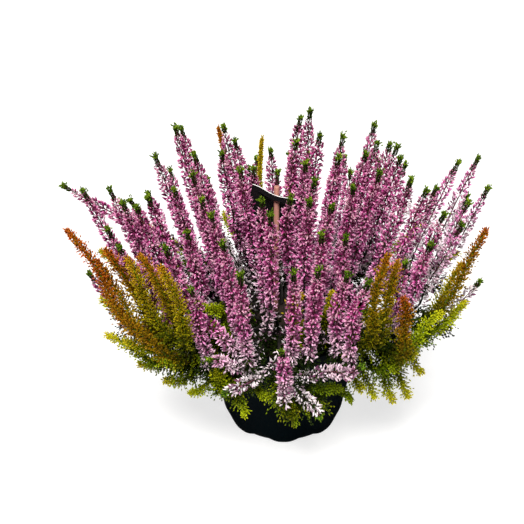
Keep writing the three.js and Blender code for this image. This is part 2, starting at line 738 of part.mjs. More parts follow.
function soilMesh(mains) {
  const floor = POT_FLOOR + FIT_GAP;
  const topRadius = potOuterRadius(SOIL_TOP) - POT_WALL - 2 * FIT_GAP;
  const footRadius = POT_FOOT_RADIUS - POT_WALL - 2 * FIT_GAP;
  const rings = [[0, floor], [footRadius, floor]];
  [...SOIL_RINGS].reverse().forEach((share) => rings.push([topRadius * share, SOIL_TOP]));
  rings.push([0, SOIL_TOP]);
  const profile = rings.map(([radius, height]) => new THREE.Vector2(radius, height));
  const lathe = new THREE.LatheGeometry(profile, SOIL_SIDES).rotateX(Math.PI / 2);
  const position = lathe.attributes.position;
  for (let index = 0; index < position.count; index += 1) {
    if (position.getZ(index) < SOIL_TOP / 2) continue;
    position.setZ(index, soilTopAt(position.getX(index), position.getY(index)));
  }
  let solid = toManifold(lathe);
  mains.forEach((main) => {
    solid = solid.subtract(toManifold(stemHole(main)));
  });
  const holeRadius = STICK_RADIUS + FIT_GAP;
  const stickHole = new THREE.CylinderGeometry(holeRadius, holeRadius, SOIL_TOP, STICK_SIDES);
  stickHole.rotateX(Math.PI / 2);
  stickHole.translate(STICK_PLACE.x, STICK_PLACE.y, STICK_BOTTOM - FIT_GAP + SOIL_TOP / 2);
  solid = solid.subtract(toManifold(stickHole));
  return meshOf('soil', toGeometry(solid), SOIL_FINISH);
}

// A hole with its sides parallel to the stem's, a gap wider all round.
function stemHole(main) {
  const { corners } = main.kind;
  const cornerRadius = STEM_RADIUS + FIT_GAP / Math.cos(Math.PI / corners);
  const hole = new THREE.CylinderGeometry(cornerRadius, cornerRadius, 2 * ROOT_DEPTH, corners);
  const [root] = main.nodes;
  const azimuth = Math.atan2(main.side.y, main.side.x);
  hole.rotateX(Math.PI / 2);
  hole.rotateZ(azimuth + main.twist + Math.PI / 2);
  hole.translate(root.x, root.y, root.z - FIT_GAP + ROOT_DEPTH);
  return hole;
}

// ---- Label ----

function stickMesh() {
  const height = STICK_TOP - STICK_BOTTOM;
  const stick = new THREE.CylinderGeometry(STICK_RADIUS, STICK_RADIUS, height, STICK_SIDES);
  stick.rotateX(Math.PI / 2);
  stick.translate(STICK_PLACE.x, STICK_PLACE.y, STICK_BOTTOM + height / 2);
  return meshOf('label_stick', stick, STICK_FINISH);
}

// How far the card has bowed away from its own plane, 0 at its sides and 1 in the middle.
function cardBow(across) {
  const share = Math.abs(across) / (CARD_BOW_WIDTH / 2);
  return share >= 1 ? 0 : (1 + Math.cos(Math.PI * share)) / 2;
}

function cardPlacement() {
  const turn = new THREE.Matrix4().makeRotationZ(CARD_YAW);
  turn.multiply(new THREE.Matrix4().makeRotationY(CARD_ROLL));
  turn.setPosition(STICK_PLACE.x, STICK_PLACE.y, CARD_SLOT_HEIGHT);
  return turn;
}

// A stretch of the card between two heights, bowed to the front (-1) or to the back (1).
function cardSheet(low, high, bowSide) {
  const outline = [];
  for (let column = 0; column <= CARD_COLUMNS; column += 1) {
    const across = CARD_WIDTH * (column / CARD_COLUMNS - 0.5);
    outline.push([across, bowSide * CARD_BOW * cardBow(across)]);
  }
  const half = CARD_THICKNESS / 2;
  const front = outline.map(([across, depth]) => new THREE.Vector2(across, depth - half));
  const back = outline.map(([across, depth]) => new THREE.Vector2(across, depth + half)).reverse();
  const shape = new THREE.Shape([...front, ...back]);
  const sheet = new THREE.ExtrudeGeometry(shape, { depth: high - low, bevelEnabled: false, steps: 1 });
  return toManifold(sheet.translate(0, 0, low));
}

function cardMesh() {
  const panel = cardSheet(-CARD_PANEL, CARD_LAP, 1);
  const strip = cardSheet(-CARD_LAP, CARD_TOP_STRIP, -1);
  const card = toGeometry(panel.add(strip));
  card.applyMatrix4(cardPlacement());
  return meshOf('label_card', card, CARD_FINISH);
}

// ---- The whole plant ----

const random = seededRandom(SHOOT_SEED);
const sprayRows = [
  ...BLOOM_TIPS.map((rows, order) => ({ kind: BLOOM, rows, order })),
  ...FOLIAGE_TIPS.map((rows, order) => ({ kind: FOLIAGE, rows, order })),
];
const places = crownPlaces(sprayRows.map(({ rows }) => describe(rows[0]).tip));
const sprays = sprayRows.map(({ kind, rows }, index) => makeSpray(kind, rows, places[index], index, random));
settle(sprays.flat());

const heather = new THREE.Group();
heather.add(potMesh(), soilMesh(sprays.map(([main]) => main)), stickMesh(), cardMesh());
sprayRows.forEach(({ kind, order }, index) => heather.add(sprayMesh(kind, order, sprays[index])));

export default heather;
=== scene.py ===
"""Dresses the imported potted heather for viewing.

The plan of the shoots repeats the plan that shaped the solids, so that every fine spray lies
where its solid lies. Sizes are in millimetres until a mesh is made, and +Z is up.
"""

import enum
import json
import logging
import math
from dataclasses import dataclass, field

import bpy
import numpy as np
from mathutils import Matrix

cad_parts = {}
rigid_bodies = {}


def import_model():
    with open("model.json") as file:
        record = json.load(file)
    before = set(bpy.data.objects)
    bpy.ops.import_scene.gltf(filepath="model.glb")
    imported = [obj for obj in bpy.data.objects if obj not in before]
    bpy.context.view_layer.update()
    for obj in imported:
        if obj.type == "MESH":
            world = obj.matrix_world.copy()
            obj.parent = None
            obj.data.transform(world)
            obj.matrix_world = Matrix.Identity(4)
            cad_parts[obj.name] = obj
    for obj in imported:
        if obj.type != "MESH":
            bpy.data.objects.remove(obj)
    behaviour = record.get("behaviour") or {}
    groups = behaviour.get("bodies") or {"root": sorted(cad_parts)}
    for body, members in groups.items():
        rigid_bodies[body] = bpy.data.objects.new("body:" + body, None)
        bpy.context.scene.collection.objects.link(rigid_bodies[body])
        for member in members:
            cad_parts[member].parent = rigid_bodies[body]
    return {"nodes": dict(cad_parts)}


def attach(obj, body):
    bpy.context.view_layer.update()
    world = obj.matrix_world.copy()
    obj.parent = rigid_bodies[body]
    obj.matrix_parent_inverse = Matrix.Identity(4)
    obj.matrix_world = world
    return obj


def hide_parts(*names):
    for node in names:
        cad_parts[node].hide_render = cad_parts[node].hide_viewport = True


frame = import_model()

LOG = logging.getLogger("heather")
MM = 0.001
GROWTH = "growth"
GOLDEN_ANGLE = math.pi * (3.0 - math.sqrt(5.0))
ANY_TURN = (0, 6.3)
ANY_WAY = (0.31, 0.87, 0.38)
UP = np.array([0.0, 0.0, 1.0])

Array = np.ndarray
Span = tuple[float, float]
Point = tuple[float, float, float]
Colour = Point
Curve = tuple[Span, ...]
Ramp = tuple[tuple[float, Colour], ...]
Object = bpy.types.Object
Mesh = bpy.types.Mesh
Material = bpy.types.Material
NodeTree = bpy.types.NodeTree
Node = bpy.types.Node
Socket = bpy.types.NodeSocket


def read_curve(curve: Curve, at: Array | float) -> Array | float:
    """Reads a curve of (place, value) pairs at one or more places, held level past its ends."""
    places, values = zip(*curve)
    return np.interp(at, places, values)


def unit(vectors: Array) -> Array:
    """Scales a vector, or each row of an array, to length one."""
    length = np.linalg.norm(vectors, axis=-1, keepdims=True)
    return vectors / np.maximum(length, 1e-12)


def square_part(vectors: Array, directions: Array) -> Array:
    """Gives the part of some vectors that is square to some directions of length one."""
    return vectors - directions * (vectors * directions).sum(axis=-1, keepdims=True)


def rise_between(values: Array, start: float, end: float) -> Array:
    """Gives how far values are from a start (0) to an end (1), held level past both."""
    return np.clip((values - start) / (end - start), 0, 1)


def display_colour(red: int, green: int, blue: int) -> Colour:
    """Turns a display colour of 0 to 255 into linear light."""
    shares = [value / 255.0 for value in (red, green, blue)]
    return tuple(s / 12.92 if s <= 0.04045 else ((s + 0.055) / 1.055) ** 2.4 for s in shares)


def ramp_of(*stops: tuple[float, int, int, int]) -> Ramp:
    """Lists a colour ramp's stops, given as a place and a display colour's three values."""
    return tuple((place, display_colour(*colour)) for place, *colour in stops)


def grey(value: float) -> Colour:
    """Gives a linear grey."""
    return (value, value, value)


def grey_ramp(*stops: Span) -> Ramp:
    """Lists the stops of a ramp of linear greys."""
    return tuple((place, grey(value)) for place, value in stops)


# ---- The plan of the shoots ----


class RepeatingRandom:
    """Park and Miller's generator, which repeats its draws."""

    def __init__(self, seed: int) -> None:
        """Starts at a seed."""
        self.state = seed

    def draw(self) -> float:
        """Draws a number from 0 to 1."""
        self.state = (self.state * 16807) % 2147483647
        return self.state / 2147483647

    def vary(self, amount: float) -> float:
        """Draws a factor within an amount of 1."""
        return 1 + amount * (2 * self.draw() - 1)


@dataclass(frozen=True)
class Tip:
    """Where a spike ends, with its lean in degrees or its foot where it has its own."""

    x: float
    y: float
    z: float
    lean: float | None = None
    foot: Point | None = None

    def place(self) -> Array:
        """Gives the tip's place as an array."""
        return np.array([self.x, self.y, self.z], float)


@dataclass(frozen=True)
class Habit:
    """How one sort of shoot grows."""

    prefix: str
    rings: int
    length: float
    side_share: float
    reach: float
    profile: Curve
    lean: Curve
    arch: float


FLOWERING = Habit(
    prefix="bloom_spray_",
    rings=11,
    length=86,
    side_share=0.86,
    reach=5.9,
    profile=((0, 0.4), (0.12, 0.92), (0.6, 1), (0.82, 0.74), (0.92, 0.44), (1, 0.28)),
    lean=((0, 1), (14, 8), (32, 15), (50, 20), (70, 26), (90, 34)),
    arch=0,
)
GOLDEN = Habit(
    prefix="golden_shoot_",
    rings=9,
    length=104,
    side_share=0.7,
    reach=7,
    profile=((0, 0.4), (0.15, 0.85), (0.55, 1), (0.85, 0.7), (1, 0.35)),
    lean=((0, 3), (40, 18), (60, 36), (80, 55)),
    arch=2.5,
)

# The tips of each spray's shoots, the main shoot first.
BLOOM_TIPS = (
    (Tip(-149, 0, 194, lean=52), Tip(-133, -19, 202)),
    (Tip(-113, -35, 213), Tip(-103, -50, 212)),
    (Tip(-89, -35, 207), Tip(-94, -56, 213)),
    (Tip(-86, -5, 220), Tip(-106, 4, 180)),
    (Tip(-74, 20, 228), Tip(-72, 45, 213)),
    (Tip(-60, -30, 221), Tip(-53, -61, 222), Tip(-60, -8, 223), Tip(-71, -45, 219)),
    (Tip(-76, -76, 196), Tip(-62, -72, 205)),
    (Tip(-114, -52, 194), Tip(-104, -76, 196), Tip(-130, -44, 153, foot=(-105, -52, 116))),
    (Tip(-84, -84, 178), Tip(-60, -98, 180)),
    (Tip(-40, -86, 206), Tip(-47, -70, 216)),
    (Tip(-42, 30, 223), Tip(-34, 12, 222), Tip(-42, -12, 226)),
    (Tip(-16, -64, 223), Tip(-30, -16, 216)),
    (Tip(-29, -101, 193), Tip(-11, -74, 219)),
    (Tip(-5, 36, 184), Tip(-10, 44, 196), Tip(-22, 30, 190)),
    (Tip(16, 20, 240), Tip(10, 35, 227), Tip(22, 5, 230), Tip(8, 18, 218)),
    (Tip(12, -24, 226), Tip(17, -46, 226), Tip(2, -50, 216)),
    (Tip(37, 0, 232), Tip(33, -22, 229)),
    (Tip(20, -82, 210), Tip(13, -62, 221), Tip(27, -66, 220), Tip(35, -82, 208)),
    (Tip(59, -30, 223), Tip(41, -46, 221), Tip(51, -14, 227)),
    (Tip(61, 40, 219), Tip(48, 56, 172), Tip(70, 18, 216)),
    (Tip(73, 2, 223), Tip(61, 12, 220), Tip(73, -18, 226)),
    (Tip(79, -32, 219), Tip(87, -46, 219), Tip(97, -22, 206)),
    (Tip(116, 10, 207), Tip(130, 16, 206)),
    (Tip(135, -4, 195), Tip(120, -18, 192)),
    (Tip(98, -56, 208), Tip(112, -46, 193)),
    (
        Tip(88, -76, 198),
        Tip(74, -72, 182, foot=(76, -64, 118)),
        Tip(127, -50, 151, foot=(104, -48, 109)),
    ),
    (Tip(48, -103, 189), Tip(36, -96, 190)),
    (Tip(3, -101, 195), Tip(18, -99, 196)),
    (
        Tip(-4, -122, 151),
        Tip(-40, -98, 96, foot=(-19, -87, 100)),
        Tip(22, -99, 77, foot=(6, -86, 92)),
        Tip(48, -97, 118, foot=(10, -84, 98)),
    ),
    (Tip(-62, -80, 148, foot=(-30, -72, 112)), Tip(-52, -90, 122, foot=(-24, -78, 100))),
    (Tip(-118, 44, 154), Tip(-100, 62, 150), Tip(-84, 76, 162)),
    (Tip(-56, 62, 162), Tip(-58, 92, 144), Tip(-26, 62, 172)),
    (Tip(4, 60, 184), Tip(18, 84, 170), Tip(-20, 96, 160), Tip(46, 88, 166)),
    (Tip(86, 50, 182), Tip(70, 82, 166), Tip(96, 84, 146)),
    (Tip(111, 50, 160), Tip(130, 36, 164)),
)
GOLDEN_TIPS = (
    (Tip(-139, -56, 195, foot=(-76, -86, 120)), Tip(-121, -60, 173, foot=(-90, -70, 114))),
    (Tip(-114, -66, 187, foot=(-88, -72, 128)), Tip(-99, -80, 190, foot=(-74, -90, 137))),
    (Tip(-90, -84, 195, foot=(-69, -90, 144)), Tip(-77, -94, 193, foot=(-62, -98, 139))),
    (Tip(-102, -54, 150, foot=(-74, -70, 114)), Tip(-121, -50, 138, foot=(-89, -68, 108))),
    (Tip(-121, -50, 106, foot=(-84, -66, 94)), Tip(-104, -64, 115, foot=(-70, -76, 104))),
    (Tip(-99, -60, 89, foot=(-66, -68, 90)), Tip(-82, -66, 80, foot=(-56, -70, 88))),
    (Tip(-48, -88, 107, foot=(-43, -78, 84)), Tip(-66, -76, 84, lean=80)),
    (Tip(-6, -86, 78, foot=(-40, -76, 82)), Tip(-28, -90, 70, lean=130)),
    (Tip(36, -80, 84, foot=(3, -82, 80)), Tip(6, -94, 66, lean=150), Tip(44, -78, 72, lean=125)),
    (Tip(60, -90, 199, foot=(50, -96, 139)), Tip(67, -84, 190, foot=(60, -90, 137))),
    (Tip(127, -48, 190, foot=(104, -58, 131)), Tip(115, -42, 159, foot=(98, -50, 119))),
    (Tip(118, -54, 137, foot=(89, -66, 113)), Tip(101, -66, 137, foot=(73, -76, 110))),
    (Tip(68, -90, 168, foot=(75, -86, 118)), Tip(85, -72, 110, foot=(60, -78, 98))),
    (Tip(94, -54, 77, lean=112), Tip(86, -56, 56, lean=150), Tip(74, -66, 62, lean=145)),
    (Tip(60, -74, 72, lean=125), Tip(50, -80, 84, lean=100)),
    (Tip(-16, 58, 198, lean=4), Tip(4, 48, 189, lean=6), Tip(-46, 42, 215, lean=14)),
    (Tip(-108, 74, 118, lean=55), Tip(-132, 24, 124, lean=48)),
    (Tip(108, 78, 116, lean=55), Tip(128, 40, 112, lean=52)),
    (Tip(2, 118, 108, lean=50), Tip(40, 108, 98, lean=56), Tip(-46, 106, 104, lean=52)),
    (Tip(14, -75, 158, foot=(10, -62, 112)), Tip(30, -77, 163, foot=(26, -64, 116))),
    (Tip(-57, -66, 148, foot=(-34, -52, 110)), Tip(-56, -74, 134, foot=(-33, -62, 106))),
)


@dataclass
class Shoot:
    """One stem with its spike, as a chain of nodes."""

    habit: Habit
    nodes: Array
    radii: Array
    first_ring: int
    spray: int
    parent: "Shoot | None" = None
    joint: int = 0
    fixed: int = 1
    start: int = 0


@dataclass
class Balls:
    """Small balls along the shoots and the label, for keeping them apart."""

    owner: Array
    node: Array
    share: Array
    radius: Array
    at: Array


@dataclass
class GrowthPlan:
    """Where every shoot runs: the sizes and the rule that the solids were shaped by."""

    pot_height: float = 92
    pot_rim_radius: float = 60
    pot_foot_radius: float = 44
    pot_wall: float = 1.6
    rim_band_step: float = 1.4
    soil_top: float = 84
    fit_gap: float = 0.3
    stick_radius: float = 1.9
    stick_place: Span = (-6, 8)
    stick_top: float = 189
    card_width: float = 37
    card_thickness: float = 0.7
    card_top_strip: float = 4
    card_panel: float = 26
    card_slot_height: float = 180
    card_bow: float = 3.6
    card_bow_width: float = 32
    card_roll: float = 10
    card_yaw: float = -20
    stem_radius: float = 1.4
    side_stem_radius: float = 1.1
    root_depth: float = 10
    crown_radius: float = 38
    crown_spacing: float = 6.4
    main_stem_steps: int = 4
    side_stem_steps: int = 3
    curve_steps: int = 30
    stem_handle: float = 0.36
    root_pull: float = 0.3
    wobble: float = 2.5
    upright_share: float = 0.74
    hanging_share: float = 0.46
    front_lean_share: float = 0.55
    lowest_foot: float = 100
    over_rim: float = 104
    arch_rise: float = 0.32
    arch_reach: float = 0.5
    climb: Curve = ((60, 0), (85, 34), (120, 46))
    widest_tip_angle: float = 100
    seed: int = 4711
    length_variation: float = 0.08
    side_length_variation: float = 0.1
    rounds: int = 90
    pairing: int = 9
    look_round: float = 9
    spacing: float = 4
    clearance: float = 0.7
    rim_clearance: float = 1
    junction_length: float = 16
    own_push: float = 0.5
    neighbour_push: float = 0.25
    random: RepeatingRandom = field(init=False)

    def __post_init__(self) -> None:
        """Starts the draws."""
        self.random = RepeatingRandom(self.seed)

    def grow(self) -> list[list[Shoot]]:
        """Plans every spray and bends the shoots clear of each other.

        Returns:
            The shoots of each spray, the main one first: the flowering sprays, then the golden.
        """
        rows = [(FLOWERING, row) for row in BLOOM_TIPS] + [(GOLDEN, row) for row in GOLDEN_TIPS]
        places = self.crown_places([row[0].place() for _, row in rows])
        sprays = [
            self.plan_spray(habit, row, places[index], index)
            for index, (habit, row) in enumerate(rows)
        ]
        self.settle([shoot for spray in sprays for shoot in spray])
        return sprays

    def tip_angle(self, tip: Array) -> float:
        """Gives a tip's angle from the vertical, seen from the middle of the soil, in degrees."""
        return math.degrees(math.atan2(math.hypot(tip[0], tip[1]), tip[2] - self.soil_top))

    def crown_places(self, tips: list[Array]) -> Array:
        """Spaces out the main stems where they leave the soil.

        Args:
            tips: The main tip of each spray.

        Returns:
            The place of each main stem in the soil's plane.
        """
        places = []
        for tip in tips:
            share = min(self.tip_angle(tip) / self.widest_tip_angle, 1)
            out = self.crown_radius * math.sqrt(share)
            azimuth = math.atan2(tip[1], tip[0])
            places.append((out * math.cos(azimuth), out * math.sin(azimuth)))
        found = np.array(places)
        stick = np.array(self.stick_place, float)
        for _ in range(self.rounds):
            moves = np.zeros_like(found)
            from_stick = found - stick
            overlap = self.crown_spacing - np.linalg.norm(from_stick, axis=1)
            near = overlap > 0
            moves[near] += unit(from_stick[near]) * overlap[near, None] / 2
            apart = found[None] - found[:, None]
            overlap = self.crown_spacing - np.linalg.norm(apart, axis=2)
            np.fill_diagonal(overlap, 0)
            pushes = unit(apart) * np.maximum(overlap, 0)[..., None] / 4
            moves += pushes.sum(axis=0)
            found = found + moves
        return found

    def lean_of(self, habit: Habit, tip: Array) -> float:
        """Gives a spike's lean: most at the sides, less at the front and back.

        Args:
            habit: How it grows.
            tip: Its tip.

        Returns:
            The lean, in degrees.
        """
        sideways = tip[0] ** 2 / (tip[0] ** 2 + tip[1] ** 2)
        share = self.front_lean_share + (1 - self.front_lean_share) * sideways
        return read_curve(habit.lean, self.tip_angle(tip)) * share

    def leaning(self, degrees: float, azimuth: float) -> Array:
        """Gives the direction that leans out from the vertical towards an azimuth.

        Args:
            degrees: How far it leans.
            azimuth: The way it leans, in radians.

        Returns:
            The direction.
        """
        lean = math.radians(degrees)
        out = math.sin(lean)
        return np.array([out * math.cos(azimuth), out * math.sin(azimuth), math.cos(lean)])

    def bezier(self, corners: list[Array], steps: int) -> Array:
        """Draws a cubic curve from its four control points.

        Args:
            corners: The control points.
            steps: How many equal steps to take along it.

        Returns:
            One point in each row.
        """
        t = np.linspace(0, 1, steps + 1)[:, None]
        u = 1 - t
        weights = (u**3, 3 * u * u * t, 3 * u * t * t, t**3)
        return sum(weight * corner for weight, corner in zip(weights, corners))

    def standing_route(self, root: Array, rise: Array, tip: Array, foot: Array, arch: float) -> Array:
        """Draws a stem that bends out to a foot and the nearly straight spike above it.

        Args:
            root: Where the stem starts.
            rise: Its direction there.
            tip: The spike's tip.
            foot: The spike's foot.
            arch: How far the spike arches above a straight line.

        Returns:
            The route's points.
        """
        direction = unit(tip - foot)
        reach = np.linalg.norm(root - foot)
        lower = root + rise * self.stem_handle * reach
        upper = foot - direction * self.stem_handle * reach
        if math.hypot(foot[0], foot[1]) > self.pot_rim_radius:
            lower[2] = max(lower[2], self.over_rim)
            upper[2] = max(upper[2], self.over_rim)
        stem = self.bezier([root, lower, upper, foot], self.curve_steps)
        share = np.arange(1, self.curve_steps + 1)[:, None] / self.curve_steps
        spike = foot + (tip - foot) * share
        spike[:, 2:] += 4 * arch * share * (1 - share)
        return np.vstack([stem, spike])

    def arched_route(self, root: Array, rise: Array, tip: Array, lean: float, azimuth: float) -> Array:
        """Draws a shoot that bends all the way from its root to its tip.

        Args:
            root: Where the stem starts.
            rise: Its direction there.
            tip: The shoot's tip.
            lean: The shoot's lean at its tip, in degrees.
            azimuth: The way it leans.

        Returns:
            The route's points.
        """
        span = np.linalg.norm(root - tip)
        climb = max(self.arch_rise * span, read_curve(self.climb, self.tip_angle(tip)))
        lower = root + rise * climb
        upper = tip - self.leaning(lean, azimuth) * self.arch_reach * span
        return self.bezier([root, lower, upper, tip], 2 * self.curve_steps)

    def plan_shoot(
        self,
        habit: Habit,
        row: Tip,
        root: Array,
        rise: Array,
        stem_steps: int,
        length: float,
        stem_radius: float,
        spray: int,
    ) -> Shoot:
        """Plans one shoot from its root to its tip.

        Args:
            habit: How it grows.
            row: Its tip.
            root: Where it starts.
            rise: Its direction there.
            stem_steps: How many steps its bare stem has.
            length: Its spike's length.
            stem_radius: Its stem's radius.
            spray: The number of its spray.

        Returns:
            The shoot.
        """
        tip = row.place()
        azimuth = math.atan2(tip[1] - self.root_pull * root[1], tip[0] - self.root_pull * root[0])
        arched = row.lean is not None
        if arched:
            route = self.arched_route(root, rise, tip, row.lean, azimuth)
        else:
            foot = self.foot_of(habit, row, tip, azimuth, length)
            route = self.standing_route(root, rise, tip, foot, habit.arch)
        steps = np.linalg.norm(np.diff(route, axis=0), axis=1)
        lengths = np.concatenate([[0], np.cumsum(steps)])
        if arched:
            most = self.hanging_share if row.lean > 90 else self.upright_share
            spike_share = min(length / lengths[-1], most)
        else:
            spike_share = 1 - lengths[self.curve_steps] / lengths[-1]
        shares = np.concatenate(
            [
                (1 - spike_share) * np.arange(stem_steps) / stem_steps,
                1 - spike_share + spike_share * np.arange(habit.rings) / (habit.rings - 1),
            ]
        )
        nodes = np.stack([np.interp(shares * lengths[-1], lengths, axis) for axis in route.T], 1)
        side = np.array([-math.sin(azimuth), math.cos(azimuth), 0])
        sway = self.wobble * (2 * self.random.draw() - 1)
        self.random.draw()
        nodes += side * (sway * np.sin(2 * np.pi * shares))[:, None]
        reach = habit.reach * read_curve(habit.profile, np.arange(habit.rings) / (habit.rings - 1))
        radii = np.concatenate([np.full(stem_steps, stem_radius + self.fit_gap), reach])
        return Shoot(habit, nodes, radii, stem_steps, spray)

    def foot_of(self, habit: Habit, row: Tip, tip: Array, azimuth: float, length: float) -> Array:
        """Finds where a straight spike starts, which is above the rim unless its row says.

        Args:
            habit: How it grows.
            row: Its tip and any foot of its own.
            tip: The tip's place.
            azimuth: The way it leans.
            length: Its spike's length.

        Returns:
            The foot's place.
        """
        if row.foot is not None:
            return np.array(row.foot, float)
        direction = self.leaning(self.lean_of(habit, tip), azimuth)
        longest = (tip[2] - self.lowest_foot) / direction[2]
        return tip - direction * min(length, longest)

    def plan_spray(self, habit: Habit, rows: tuple[Tip, ...], place: Array, index: int) -> list[Shoot]:
        """Plans a main shoot and the side shoots on it.

        Args:
            habit: How they grow.
            rows: Their tips.
            place: Where the main stem leaves the soil.
            index: The spray's number.

        Returns:
            The shoots, the main one first.
        """
        root = np.array([place[0], place[1], self.soil_top])
        length = habit.length * self.random.vary(self.length_variation)
        main = self.plan_shoot(
            habit, rows[0], root, UP, self.main_stem_steps, length, self.stem_radius, index
        )
        below = np.array([[place[0], place[1], self.soil_top - self.root_depth]])
        main.nodes = np.vstack([below, main.nodes])
        main.radii = np.concatenate([main.radii[:1], main.radii])
        main.first_ring += 1
        main.fixed = 2
        shoots = [main]
        for order, row in enumerate(rows[1:]):
            joint = self.main_stem_steps - 1 + order % 2
            rise = unit(main.nodes[joint + 1] - main.nodes[joint - 1])
            length = habit.length * habit.side_share * self.random.vary(self.side_length_variation)
            start = main.nodes[joint].copy()
            shoot = self.plan_shoot(
                habit, row, start, rise, self.side_stem_steps, length, self.side_stem_radius, index
            )
            shoot.parent = main
            shoot.joint = joint
            shoots.append(shoot)
        return shoots

    def card_turn(self) -> tuple[Array, Array]:
        """Turns the card.

        Returns:
            Its rotation as a matrix, and its place.
        """
        yaw, roll = math.radians(self.card_yaw), math.radians(self.card_roll)
        cos, sin = math.cos(yaw), math.sin(yaw)
        about_z = np.array([[cos, -sin, 0], [sin, cos, 0], [0, 0, 1]])
        cos, sin = math.cos(roll), math.sin(roll)
        about_y = np.array([[cos, 0, sin], [0, 1, 0], [-sin, 0, cos]])
        return about_z @ about_y, np.array([*self.stick_place, self.card_slot_height], float)

    def card_bowing(self, across: float) -> float:
        """Gives how far the card has bowed: 0 at its sides and 1 in the middle."""
        share = abs(across) / (self.card_bow_width / 2)
        return 0.0 if share >= 1 else (1 + math.cos(math.pi * share)) / 2

    def label_balls(self) -> tuple[Array, Array]:
        """Gives the label's stick and card as balls that never move.

        Returns:
            Their places and their radii.
        """
        places, radii = [], []
        for height in np.arange(self.soil_top, self.stick_top + 1e-9, self.spacing):
            places.append(np.array([*self.stick_place, height], float))
            radii.append(self.stick_radius)
        rotation, centre = self.card_turn()
        half = self.card_width / 2
        for across in np.arange(-half, half + 1e-9, self.spacing):
            for height in np.arange(-self.card_panel, self.card_top_strip + 1e-9, self.spacing):
                depth = self.card_bow * self.card_bowing(across) * (-1 if height > 0 else 1)
                places.append(rotation @ np.array([across, depth, height]) + centre)
                radii.append(self.card_thickness)
        return np.array(places), np.array(radii)

    def make_balls(self, shoots: list[Shoot]) -> Balls:
        """Puts small balls along every shoot, and the label's after them.

        Args:
            shoots: All the shoots, with their starts in the joined nodes.

        Returns:
            The balls.
        """
        owner, node, share, radius = [], [], [], []
        for number, shoot in enumerate(shoots):
            last = len(shoot.nodes) - 1
            for index in range(last):
                span = np.linalg.norm(shoot.nodes[index] - shoot.nodes[index + 1])
                count = max(1, math.ceil(span / self.spacing))
                for part in range(count + (index == last - 1)):
                    along = part / count
                    owner.append(number)
                    node.append(shoot.start + index)
                    share.append(along)
                    radius.append(shoot.radii[index] * (1 - along) + shoot.radii[index + 1] * along)
        places, radii = self.label_balls()
        owner += [-1] * len(places)
        node += [0] * len(places)
        share += [0.0] * len(places)
        at = np.vstack([np.zeros((len(radius), 3)), places])
        radius = np.concatenate([radius, radii])
        return Balls(np.array(owner), np.array(node), np.array(share), radius, at)

    def close_pairs(self, balls: Balls, shoots: list[Shoot], nodes: Array) -> Array:
        """Lists the pairs of balls of different shoots that are near enough to matter.

        Args:
            balls: The balls.
            shoots: The shoots that own them.
            nodes: The joined nodes.

        Returns:
            Two ball numbers in each row.
        """
        spray = np.array([shoot.spray for shoot in shoots] + [-1])[balls.owner]
        has_parent = np.array([shoot.parent is not None for shoot in shoots] + [False])
        base = np.array([nodes[shoot.start] for shoot in shoots] + [np.full(3, 1e9)])
        from_base = np.linalg.norm(balls.at - base[balls.owner], axis=1)
        joined = has_parent[balls.owner] & (from_base < self.junction_length)
        found = []
        for first in range(len(balls.at)):
            rest = slice(first + 1, None)
            reach = balls.radius[first] + balls.radius[rest] + self.look_round
            away = balls.at[rest] - balls.at[first]
            near = (np.abs(away[:, 2]) <= reach) & (balls.owner[rest] != balls.owner[first])
            near &= (away * away).sum(axis=1) <= reach * reach
            same = (spray[rest] == spray[first]) & (spray[first] >= 0)
            near &= ~(same & (joined[rest] | joined[first]))
            found.append(np.stack([np.full(near.sum(), first), np.nonzero(near)[0] + first + 1], 1))
        return np.vstack(found)

    def way_out_of_pot(self, balls: Balls) -> Array:
        """Gives each ball's way out of the pot's wall and the soil, or zero.

        Args:
            balls: The balls.

        Returns:
            One move in each row.
        """
        at, radius = balls.at, balls.radius
        out = np.maximum(np.hypot(at[:, 0], at[:, 1]), 1e-9)
        middle = self.pot_rim_radius - self.rim_band_step - self.pot_wall / 2
        foot = self.pot_foot_radius - self.pot_wall / 2
        slope = (middle - foot) / self.pot_height
        nearest = (at[:, 2] + slope * (out - foot)) / (1 + slope * slope)
        along = np.clip(nearest, 0, self.pot_height - self.pot_wall)
        wall = foot + slope * along
        distance = np.maximum(np.hypot(out - wall, at[:, 2] - along), 1e-9)
        reach = radius + self.pot_wall / 2 + self.rim_band_step + self.rim_clearance
        outward = (out - wall) / distance
        way = np.stack(
            [outward * at[:, 0] / out, outward * at[:, 1] / out, (at[:, 2] - along) / distance], 1
        )
        way *= np.maximum(reach - distance, 0)[:, None]
        lowest = self.soil_top + radius + self.rim_clearance
        sunk = (out < wall) & (at[:, 2] < lowest)
        way[sunk, 2] += (lowest - at[:, 2])[sunk]
        return way

